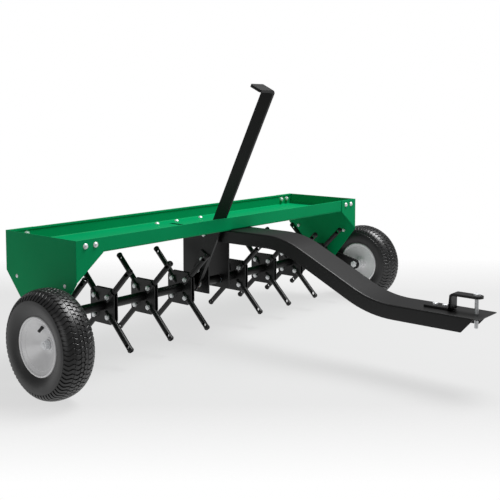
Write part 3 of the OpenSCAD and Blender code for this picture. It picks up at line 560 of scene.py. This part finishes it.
def end_tree(tree, instances, material):
    """Ends a tree: real mesh, with its finish."""
    real = add(tree, "GeometryNodeRealizeInstances", {"Geometry": instances})
    dressed = add(tree, "GeometryNodeSetMaterial", {"Geometry": real.outputs[0], "Material": material})
    add(tree, "NodeGroupOutput", {"Geometry": dressed.outputs[0]})
    return tree


def grown(piece, tree, values):
    """Runs a tree on a piece, with these values for its named inputs, and keeps the plain mesh."""
    modifier = piece.modifiers.new(tree.name, "NODES")
    modifier.node_group = tree
    for item in tree.interface.items_tree:
        if item.in_out == "INPUT" and item.name in values:
            modifier[item.identifier] = values[item.name]
    return bake(piece)


def absorb(work, piece):
    """Adds a piece's mesh to a bmesh and removes the piece."""
    work.from_mesh(piece.data)
    bpy.data.meshes.remove(piece.data)


# Tyres

# Power of the squared oval that the section follows
SECTION_POWER = 2.25
# How much further out the widest point lies than the middle of the sidewall
WIDEST_RISE = 1 * MM
TREAD_STEPS = 24
SIDEWALL_STEPS = 12
TYRE_STEPS = 144
# Width of the step at the moulded ring, which is half as high
RING_STEP = 1 * MM
# How far in from the widest point the sidewall's curve is led before it turns to the bead
SIDEWALL_LEAD = 14 * MM
BEAD_RISE = 0.7 * MM
BEAD_GAP = 0.05 * MM
# Rows of lugs on one side of the tread: from and to, in mm off its middle, and how much a lug narrows
TREAD_ROWS = ((0.6, 9.2, 0.0), (10.0, 22.6, 0.0), (23.4, 43.2, 0.25))
# Length of a lug's facets across the tread, in mm
LUG_STEP = 2.0
# Share of its width that a lug has at its top
LUG_TAPER = 0.86
# How far a lug's root lies below the tread floor
LUG_ROOT = 0.8 * MM
# Rounding of a lug's edges that turn more than the angle
LUG_ROUND = 0.5 * MM
LUG_SHARP = math.radians(40)


class Tyre:
    """One wheel's sizes from the frame, and its tyre's squared oval section."""

    def __init__(self, side, sizes):
        low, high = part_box(side + "_tyre")
        rim_low, rim_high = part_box(side + "_rim")
        self.centre = (low + high) / 2
        self.half_w = (high.x - low.x) / 2
        self.radius = (high.z - low.z) / 2
        self.rim_radius = (rim_high.z - rim_low.z) / 2
        self.lip = (rim_high.x - rim_low.x) / 2 - sizes.roll * MM
        self.wall = self.lip - sizes.flange * MM
        self.mid = (self.radius + self.rim_radius) / 2 + WIDEST_RISE

    def section(self, t, inset):
        """Offset and radius on the section, t from 0 at the crown to a quarter turn at the sidewall."""
        u = (self.half_w - inset) * math.sin(t) ** (2 / SECTION_POWER)
        return u, self.mid + (self.radius - self.mid - inset) * math.cos(t) ** (2 / SECTION_POWER)

    def angle_at(self, u):
        """The section's t at an offset u."""
        return math.asin((u / self.half_w) ** (SECTION_POWER / 2))


def carcass(tyre, sizes):
    """The tyre under its lugs: tread floor, moulded ring, sidewalls and beads."""
    ring = sizes.ring * MM
    edge = math.acos(((ring - tyre.mid) / (tyre.radius - tyre.mid)) ** (SECTION_POWER / 2))
    half = [tyre.section(edge * k / TREAD_STEPS, sizes.tread * MM) for k in range(TREAD_STEPS)]
    ring_u, ring_r = tyre.section(edge, 0)
    half += [(ring_u - RING_STEP, ring_r + RING_STEP / 2), (ring_u, ring_r)]
    top = Vector((tyre.half_w, tyre.mid))
    bulge = Vector((tyre.half_w, tyre.mid - SIDEWALL_LEAD))
    foot = Vector((tyre.lip + sizes.roll * MM / 2, tyre.rim_radius + BEAD_RISE))
    for k in range(SIDEWALL_STEPS + 1):
        f = k / SIDEWALL_STEPS
        half.append(tuple(top.lerp(bulge, f).lerp(bulge.lerp(foot, f), f)))
    bead_u = tyre.wall - sizes.dish * MM - BEAD_GAP
    half += [(bead_u, foot.y), (bead_u, sizes.barrel * MM + BEAD_GAP)]
    return half + [(-u, r) for u, r in half[:0:-1]]


def add_lug(work, tyre, sizes, side, row):
    """Adds one lug of a row to a bmesh, on the wheel's own axis, between the tread's wavy cuts."""
    start, end, narrowing = row
    pitch = FULL_TURN * tyre.radius / sizes.lugs
    half_lug = (pitch - sizes.lug_gap * MM) / 2
    root = sizes.tread * MM + LUG_ROOT
    first, last = tyre.angle_at(start * MM), tyre.angle_at(end * MM)
    count = round((end - start) / LUG_STEP)
    sections = []
    for k in range(count + 1):
        t = first + (last - first) * k / count
        sway = math.sin(FULL_TURN * tyre.section(t, 0)[0] / (sizes.wave_length * MM))
        middle = sizes.wave * MM * sway + (pitch / 2 if side < 0 else 0)
        half = half_lug * (1 - narrowing * k / count)
        corners = []
        for inset, spread in ((root, 1), (root, -1), (0, -LUG_TAPER), (0, LUG_TAPER)):
            u, r = tyre.section(t, inset)
            angle = (middle + spread * half) / tyre.radius
            corners.append(work.verts.new(ring_point(side * u, r, angle)))
        sections.append(corners)
    work.faces.new(sections[0])
    work.faces.new(sections[-1][::-1])
    for here, ahead in zip(sections, sections[1:]):
        for k in range(len(here)):
            work.faces.new((here[k], ahead[k], ahead[k - 1], here[k - 1]))


def tread_pitch(tyre, sizes):
    """One lug of each row, on both sides of the tread."""
    work = bmesh.new()
    for side in (-1, 1):
        for row in TREAD_ROWS:
            add_lug(work, tyre, sizes, side, row)
    return faced(work)


def make_tyre(side, sizes):
    """A tyre: the carcass with its lugs, turned round it by a geometry node tree."""
    tyre = Tyre(side, sizes)
    lugs = new_object(side + "_lugs", tread_pitch(tyre, sizes))
    edges = lugs.modifiers.new("Edges", "BEVEL")
    edges.width = LUG_ROUND
    edges.angle_limit = LUG_SHARP
    grown(lugs, bpy.data.node_groups.get("turned_copies") or copies_tree(), {
        "Copies": sizes.lugs, "Centre": tyre.centre, "Finish": finish("tyre_rubber")})
    work = bmesh.new()
    lathe(work, carcass(tyre, sizes), TYRE_STEPS, Matrix.Translation(tyre.centre))
    absorb(faced(work), lugs)
    return dress(smoothed(new_object(side + "_tyre_moulded", work)), side + "_tyre")


# Rims and valves

# Thickness of the hub bushes' flanges
HUB_FLANGE = 2 * MM
# How far from a corner of the dish its bend starts
DISH_BEND = 9 * MM
DISH_STEPS = 128
ROLL_STEPS = 16
TUBE_STEPS = 96
VALVE_STEPS = 24
# Share of the length and of the widest radius, from the inside end to the cap
VALVE_PROFILE = (
    (0, 0), (0, 0.98), (0.5, 0.98), (0.6, 0.9), (0.66, 0.72),
    (0.68, 0.86), (0.96, 0.86), (1, 0.7), (1, 0),
)


def make_rim(side, sizes):
    """A pressed rim: two dishes with rolled edges, the barrel between them and the hub tube."""
    tyre = Tyre(side, sizes)
    out = -1 if side == "right" else 1
    sheet, barrel, roll = sizes.dish * MM, sizes.barrel * MM, sizes.roll * MM
    bore, land = sizes.hub_bore * MM, sizes.hub_land * MM
    bush_low, bush_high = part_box(side + "_hub_bushes")
    ends = sorted(out * (x - tyre.centre.x) for x in (bush_low.x, bush_high.x))
    hub_in, hub_out = ends[0] + HUB_FLANGE, ends[1] - HUB_FLANGE
    lip_r = tyre.rim_radius - roll
    span = tyre.wall - sheet / 2
    work = bmesh.new()
    place = Matrix.Translation(tyre.centre) @ Matrix.Scale(out, 4, (1, 0, 0))
    for face, flat in ((1, hub_out - sizes.hub_end * MM), (-1, -sizes.inner_dish * MM)):
        back = flat - face * sheet / 2
        lip = (face * tyre.lip, lip_r)
        line = [(back, bore), (back, land), (face * span, barrel), lip]
        lathe(work, band(rounded(line, DISH_BEND), sheet), DISH_STEPS, place)
        lathe(work, circle(lip, roll, ROLL_STEPS), DISH_STEPS, place)
    for inner, outer, start, end in (
        (barrel - sheet, barrel, -span, span),
        (bore, sizes.hub * MM, hub_in, hub_out),
    ):
        lathe(work, [(start, inner), (end, inner), (end, outer), (start, outer)], TUBE_STEPS, place)
    return dress(smoothed(new_object(side + "_rim_pressed", faced(work))), side + "_rim")


def make_valve(side):
    """A snap-in valve on the CAD stem's line: rubber boot, slim neck and a round cap."""
    stem = merged(side + "_valve")
    ends = sorted(stem.faces, key=lambda f: f.calc_area())[-2:]
    cap, root = [f.calc_center_median() for f in ends]
    wide = math.sqrt(ends[1].calc_area() / math.pi)
    stem.free()
    line = cap - root
    work = bmesh.new()
    turn = line.to_track_quat("X", "Z").to_matrix().to_4x4()
    profile = [(along * line.length, radius * wide) for along, radius in VALVE_PROFILE]
    solid_turned(work, profile, VALVE_STEPS, Matrix.Translation(root) @ turn)
    return dress(smoothed(new_object(side + "_valve_moulded", faced(work))), side + "_valve")


# Axle

AXLE_EASE = 0.1 * MM
AXLE_CHAMFER = 1 * MM
AXLE_STEPS = 64


def make_axle():
    """The axle, turned a little slimmer than its bores so that no facet reaches through another."""
    low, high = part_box("axle")
    half, radius = (high.x - low.x) / 2, (high.z - low.z) / 2 - AXLE_EASE
    side = [(half, 0), (half, radius - AXLE_CHAMFER), (half - AXLE_CHAMFER, radius)]
    profile = [(-u, r) for u, r in side] + side[::-1]
    work = bmesh.new()
    solid_turned(work, profile, AXLE_STEPS, Matrix.Translation((low + high) / 2))
    return dress(smoothed(new_object("axle_turned", faced(work))), "axle")


# Fasteners

# How far each fastener is turned from the one before it, so that no two heads stand alike
SPIN = 2.4
# Points this near each other along an axis lie on one level
LEVEL = 0.02 * MM
# Points this near an end belong to it, and a nut's rim comes this near both of its ends
END_LEVEL = 0.05 * MM
NUT_LEVEL = 0.1 * MM
# Share of the widest radius from which points belong to the rim of a head or nut
RIM_SHARE = 0.97
# Fasteners whose sizes in metres agree to this many digits share one prototype
SIZE_DIGITS = 5
# Half of the angle between two corners of a hexagon, and the slope of its chamfer
HEX_HALF = math.radians(30)
HEX_SLOPE = math.tan(math.radians(30))
# Share of the width across flats that the chamfer leaves on top
HEX_CROWN = 0.95
HEX_STEPS = 36
DOME_RINGS = 8
DOME_STEPS = 32
THREAD_LENGTH = 9 * MM
THREAD_STEPS = 24
# Shares of the pitch between which a thread's crest lies, and share of the radius at its root
CREST_START, CREST_END = 0.25, 0.5
THREAD_ROOT = 0.86
# Length of the point in pitches, and shares of the radius where it starts and ends
POINT_LENGTH = 0.1
POINT_START, POINT_END = 0.8, 0.72
# How far from a bolt's tip its plain shank ends, inside the thread
SHANK_SHORT = 3 * MM
SHANK_STEPS = 20


def islands(work):
    """The points of each separate solid in a bmesh, always in the same order."""
    met = set()
    for first in work.verts:
        if first in met:
            continue
        met.add(first)
        group = [first]
        for vert in group:
            reached = [e.other_vert(vert) for e in vert.link_edges]
            group += [v for v in reached if v not in met]
            met.update(reached)
        yield [v.co.copy() for v in group]


class Fastener:
    """One bolt or nut of the frame: its axis, ends, head and sizes, read from its solid."""

    def __init__(self, points):
        # The axis is the direction along which the solid has the fewest levels
        levels = [len({round(p[i] / LEVEL) for p in points}) for i in range(3)]
        i = levels.index(min(levels))
        sides = [k for k in range(3) if k != i]
        low, high = min(p[i] for p in points), max(p[i] for p in points)
        middle = [(min(p[k] for p in points) + max(p[k] for p in points)) / 2 for k in sides]

        def off_axis(p):
            return math.hypot(p[sides[0]] - middle[0], p[sides[1]] - middle[1])

        self.wide = max(off_axis(p) for p in points)
        # The rim is the widest part: a bolt's head, or all of a nut
        rim = [p[i] for p in points if off_axis(p) > RIM_SHARE * self.wide]
        self.is_nut = min(rim) - low < NUT_LEVEL and high - max(rim) < NUT_LEVEL
        head_low = sum(rim) / len(rim) < (low + high) / 2
        sign = -1 if head_low else 1
        self.axis = Vector([sign if k == i else 0 for k in range(3)])
        origin = Vector([0, 0, 0])
        origin[sides[0]], origin[sides[1]] = middle
        top, seat, tip = (low, max(rim), high) if head_low else (high, min(rim), low)
        if self.is_nut:
            seat = low if sign > 0 else high
        self.seat = origin + Vector([seat if k == i else 0 for k in range(3)])
        self.height = abs(top - seat)
        self.tip = origin + Vector([tip if k == i else 0 for k in range(3)])
        flat = [off_axis(p) for p in points if abs(p[i] - top) < END_LEVEL]
        self.is_hex = self.is_nut or max(flat) > RIM_SHARE * self.wide
        self.shank = max(off_axis(p) for p in points if abs(p[i] - tip) < END_LEVEL)


def hexagon(wide, height):
    """A hexagon head or nut along +X, its corners cut back by the round chamfer."""
    work = bmesh.new()
    flat = wide * math.cos(HEX_HALF)
    base, shoulder, crown = [], [], []
    for k in range(HEX_STEPS):
        angle = FULL_TURN * k / HEX_STEPS
        r = flat / math.cos((angle % (2 * HEX_HALF)) - HEX_HALF)
        drop = max(0, r - HEX_CROWN * flat) * HEX_SLOPE
        base.append(work.verts.new(ring_point(0, r, angle)))
        shoulder.append(work.verts.new(ring_point(height - drop, r, angle)))
        crown.append(work.verts.new(ring_point(height, HEX_CROWN * flat, angle)))
    for ring, ahead in ((base, shoulder), (shoulder, crown)):
        for k in range(HEX_STEPS):
            near = (k + 1) % HEX_STEPS
            work.faces.new((ring[k], ring[near], ahead[near], ahead[k]))
    work.faces.new(base)
    work.faces.new(crown)
    return work


def dome(wide, height):
    """A low round head along +X."""
    work = bmesh.new()
    ball = (wide ** 2 + height ** 2) / (2 * height)
    reach = math.asin(wide / ball)
    angles = [reach * k / DOME_RINGS for k in range(DOME_RINGS + 1)]
    rise = [(ball * math.cos(a) - ball + height, ball * math.sin(a)) for a in angles]
    solid_turned(work, [(0, 0), (0, wide)] + rise[-2::-1], DOME_STEPS)
    return work


def thread_end(radius, length, pitch):
    """The threaded end of a bolt along +X, ending at 0, with a chamfered point."""
    root = radius * THREAD_ROOT
    profile = [(-length, 0), (-length, root)]
    turns = max(1, int((length - pitch) / pitch))
    for k in range(turns):
        at = -length + k * pitch
        crest = [(at + share * pitch, radius) for share in (CREST_START, CREST_END)]
        profile += crest + [(at + pitch, root)]
    profile += [(-POINT_LENGTH * pitch, radius * POINT_START), (0, radius * POINT_END), (0, 0)]
    work = bmesh.new()
    solid_turned(work, profile, THREAD_STEPS)
    return work


def set_on(work, prototype, places, name):
    """Adds a prototype at each (point, axis) place to a bmesh, by a geometry node tree."""
    shape = new_object(name + "_prototype", faced(prototype))
    spots = bpy.data.meshes.new(name)
    spots.from_pydata([point for point, axis in places], [], [])
    spots.attributes.new("axis", "FLOAT_VECTOR", "POINT")
    spots.attributes.new("spin", "FLOAT", "POINT")
    for k, (point, axis) in enumerate(places):
        spots.attributes["axis"].data[k].vector = axis
        spots.attributes["spin"].data[k].value = SPIN * k
    piece = bpy.data.objects.new(name, spots)
    bpy.context.scene.collection.objects.link(piece)
    grown(piece, bpy.data.node_groups.get("on_places") or places_tree(), {
        "Prototype": shape, "Finish": finish("zinc_plate")})
    absorb(work, piece)
    bpy.data.meshes.remove(shape.data)


def add_shank(work, bolt):
    """Adds a bolt's plain shank to a bmesh, from under its head into its threaded end."""
    length = (bolt.tip - bolt.seat).length - SHANK_SHORT
    middle = bolt.seat - bolt.axis * length / 2
    turn = bolt.axis.to_track_quat("Z", "Y").to_matrix().to_4x4()
    radius = THREAD_ROOT * bolt.shank
    bmesh.ops.create_cone(
        work, cap_ends=True, segments=SHANK_STEPS, radius1=radius, radius2=radius, depth=length,
        matrix=Matrix.Translation(middle) @ turn)


def make_fasteners(nodes, sizes):
    """All bolts and nuts of one body: hexagon and round heads, nuts, shanks and threaded ends."""
    found = []
    for node in nodes:
        source = merged(node)
        found += [Fastener(points) for points in islands(source)]
        source.free()
    work = bmesh.new()
    kinds = {}
    for one in found:
        shape = hexagon if one.is_hex else dome
        head = (shape, round(one.wide, SIZE_DIGITS), round(one.height, SIZE_DIGITS))
        kinds.setdefault(head, []).append((one.seat, one.axis))
        if not one.is_nut:
            end = (thread_end, round(one.shank, SIZE_DIGITS), THREAD_LENGTH, sizes.pitch * MM)
            kinds.setdefault(end, []).append((one.tip, -one.axis))
            add_shank(work, one)
    for k, ((shape, *measures), places) in enumerate(kinds.items()):
        set_on(work, shape(*measures), places, nodes[0] + "_kind_" + str(k))
    return dress(smoothed(new_object(BODY_OF[nodes[0]] + "_fasteners", work)), *nodes)


# Stage

# Where both lamps point
AIM = Vector((0, 0.1, 0.3))
FLOOR_HALF = 9
# Distances from the eye, along the view, at which the floor starts to fade and is gone
NEAR_FADE = (1.85, 1.45)
FAR_FADE = (3.0, 3.7)


def set_world(scene, stage):
    """White to the camera, also through the floor's clear parts, and a soft even light on all else."""
    world = bpy.data.worlds.new("studio")
    world.use_nodes = True
    tree = world.node_tree
    tree.nodes.clear()
    path = add(tree, "ShaderNodeLightPath").outputs
    seen = add(tree, "ShaderNodeMath", {
        0: path["Is Camera Ray"], 1: path["Is Transmission Ray"]}, operation="MAXIMUM")
    white = add(tree, "ShaderNodeBackground", {"Color": (1, 1, 1, 1), "Strength": 1.0})
    soft = add(tree, "ShaderNodeBackground", {"Color": (1, 1, 1, 1), "Strength": stage.soft})
    mix = add(tree, "ShaderNodeMixShader", {
        0: seen.outputs[0], 1: soft.outputs[0], 2: white.outputs[0]})
    add(tree, "ShaderNodeOutputWorld", {"Surface": mix.outputs[0]})
    scene.world = world


def set_floor(stage):
    """A floor that takes the shadow round the machine, fades to white before and behind it, and is clear
    from below."""
    work = bmesh.new()
    bmesh.ops.create_grid(work, x_segments=1, y_segments=1, size=FLOOR_HALF)
    floor = new_object("floor", work)
    material, tree, shader = new_material(
        "pale_floor", Base_Color=linear(stage.floor), Roughness=0.7, Specular_IOR_Level=0.1,
        Emission_Color=(1, 1, 1, 1), Emission_Strength=stage.floor_glow)
    away = Matrix.Rotation(stage.azimuth, 3, "Z") @ Vector((0, 1, 0))
    start = away.dot(stage.eye)
    place = add(tree, "ShaderNodeTexCoord").outputs["Object"]
    depth = add(tree, "ShaderNodeVectorMath", {0: place, 1: away}, operation="DOT_PRODUCT")
    near, far = [
        add(tree, "ShaderNodeMapRange", {
            "Value": depth.outputs["Value"], "From Min": start + whole, "From Max": start + gone})
        for whole, gone in (NEAR_FADE, FAR_FADE)
    ]
    ends = add(tree, "ShaderNodeMath", {0: near.outputs[0], 1: far.outputs[0]}, operation="MAXIMUM")
    below = add(tree, "ShaderNodeNewGeometry").outputs["Backfacing"]
    fade = add(tree, "ShaderNodeMath", {0: ends.outputs[0], 1: below}, operation="MAXIMUM")
    clear = add(tree, "ShaderNodeBsdfTransparent")
    mix = add(tree, "ShaderNodeMixShader", {
        0: fade.outputs[0], 1: shader.outputs[0], 2: clear.outputs[0]})
    tree.links.new(mix.outputs[0], tree.nodes["Material Output"].inputs["Surface"])
    floor.data.materials.append(material)


def set_lights(stage):
    """A large lamp above for the tray and the front, and a low one for the right side."""
    for name, place, power in (
        ("key", stage.key_place, stage.key),
        ("fill", stage.fill_place, stage.fill),
    ):
        light = bpy.data.lights.new(name, "AREA")
        light.size = stage.lamp_size
        light.energy = power
        lamp = bpy.data.objects.new(name, light)
        lamp.location = place
        lamp.rotation_euler = (AIM - Vector(place)).to_track_quat("-Z", "Y").to_euler()
        bpy.context.scene.collection.objects.link(lamp)


def set_camera(scene, stage):
    """The photograph's view: from the machine's right and front, a little above the tray."""
    data = bpy.data.cameras.new("camera")
    data.lens = stage.lens
    data.shift_y = stage.rise
    camera = bpy.data.objects.new("camera", data)
    turn = Matrix.Rotation(stage.azimuth, 4, "Z") @ Matrix.Rotation(QUARTER_TURN - stage.pitch, 4, "X")
    camera.matrix_world = Matrix.Translation(stage.eye) @ turn
    scene.collection.objects.link(camera)
    scene.camera = camera


# Operators and panel

class AERATOR_OT_sheet_metal(bpy.types.Operator):
    """Folds and deburrs the tray and the end plates"""

    bl_idname = "aerator.sheet_metal"
    bl_label = "Sheet metal"

    def execute(self, context):
        sizes = context.scene.aerator_sizes
        for node in SHEET_NODES:
            dress(softened(node, sizes.fold, sizes.cut, SHEET_THIN), node)
        return {"FINISHED"}


class AERATOR_OT_bar_work(bpy.types.Operator):
    """Rounds the edges of the drawbar, hanger, strap, arms and lever"""

    bl_idname = "aerator.bar_work"
    bl_label = "Bar work"

    def execute(self, context):
        sizes = context.scene.aerator_sizes
        for node in BAR_NODES:
            dress(softened(node, sizes.bar_edge, sizes.cut, BAR_THIN), node)
        return {"FINISHED"}


class AERATOR_OT_coring_wheels(bpy.types.Operator):
    """Rounds the clamp plates and coring tubes"""

    bl_idname = "aerator.coring_wheels"
    bl_label = "Coring wheels"

    def execute(self, context):
        sizes = context.scene.aerator_sizes
        for body in CORING_WHEELS:
            for node in (body + "_plates", body + "_tines"):
                dress(softened(node, sizes.cut, sizes.cut), node)
        return {"FINISHED"}


class AERATOR_OT_shafts(bpy.types.Operator):
    """Finishes the axle, its tubes, pins and bushes"""

    bl_idname = "aerator.shafts"
    bl_label = "Axle, pins and bushes"

    def execute(self, context):
        sizes = context.scene.aerator_sizes
        make_axle()
        for node in SHAFT_NODES + BUSH_NODES:
            dress(softened(node, sizes.cut, sizes.cut), node)
        return {"FINISHED"}


class AERATOR_OT_tyres(bpy.types.Operator):
    """Moulds the tyres with their turf tread"""

    bl_idname = "aerator.tyres"
    bl_label = "Tyres"

    def execute(self, context):
        for side in SIDES:
            make_tyre(side, context.scene.aerator_sizes)
        return {"FINISHED"}


class AERATOR_OT_rims(bpy.types.Operator):
    """Presses the rims and fits the valves"""

    bl_idname = "aerator.rims"
    bl_label = "Rims and valves"

    def execute(self, context):
        for side in SIDES:
            make_rim(side, context.scene.aerator_sizes)
            make_valve(side)
        return {"FINISHED"}


class AERATOR_OT_fasteners(bpy.types.Operator):
    """Sets the bolts and nuts of every body"""

    bl_idname = "aerator.fasteners"
    bl_label = "Bolts and nuts"

    def execute(self, context):
        for nodes in FASTENERS:
            make_fasteners(nodes, context.scene.aerator_sizes)
        return {"FINISHED"}


class AERATOR_OT_stage(bpy.types.Operator):
    """Sets the floor, the light and the camera"""

    bl_idname = "aerator.stage"
    bl_label = "Stage"

    def execute(self, context):
        stage = context.scene.aerator_stage
        set_world(context.scene, stage)
        set_floor(stage)
        set_lights(stage)
        set_camera(context.scene, stage)
        context.scene.view_settings.view_transform = "Standard"
        return {"FINISHED"}


OPERATORS = (
    AERATOR_OT_sheet_metal,
    AERATOR_OT_bar_work,
    AERATOR_OT_coring_wheels,
    AERATOR_OT_shafts,
    AERATOR_OT_tyres,
    AERATOR_OT_rims,
    AERATOR_OT_fasteners,
    AERATOR_OT_stage,
)


class AERATOR_PT_finishing(bpy.types.Panel):
    """Lists the sizes, colours, stage values and steps"""

    bl_label = "Aerator"
    bl_space_type = "VIEW_3D"
    bl_region_type = "UI"
    bl_category = "Aerator"

    def draw(self, context):
        for group, kind in GROUPS.items():
            for name in kind.__annotations__:
                self.layout.prop(getattr(context.scene, group), name)
        for operator in OPERATORS:
            self.layout.operator(operator.bl_idname)


def register():
    for group in GROUPS.values():
        bpy.utils.register_class(group)
    for operator in OPERATORS:
        bpy.utils.register_class(operator)
    bpy.utils.register_class(AERATOR_PT_finishing)
    for name, group in GROUPS.items():
        setattr(bpy.types.Scene, name, bpy.props.PointerProperty(type=group))


def unregister():
    for name in GROUPS:
        delattr(bpy.types.Scene, name)
    bpy.utils.unregister_class(AERATOR_PT_finishing)
    for operator in reversed(OPERATORS):
        bpy.utils.unregister_class(operator)
    for group in reversed(GROUPS.values()):
        bpy.utils.unregister_class(group)


def main():
    register()
    for operator in OPERATORS:
        getattr(bpy.ops.aerator, operator.bl_idname.split(".")[1])()


if __name__ == "__main__":
    main()
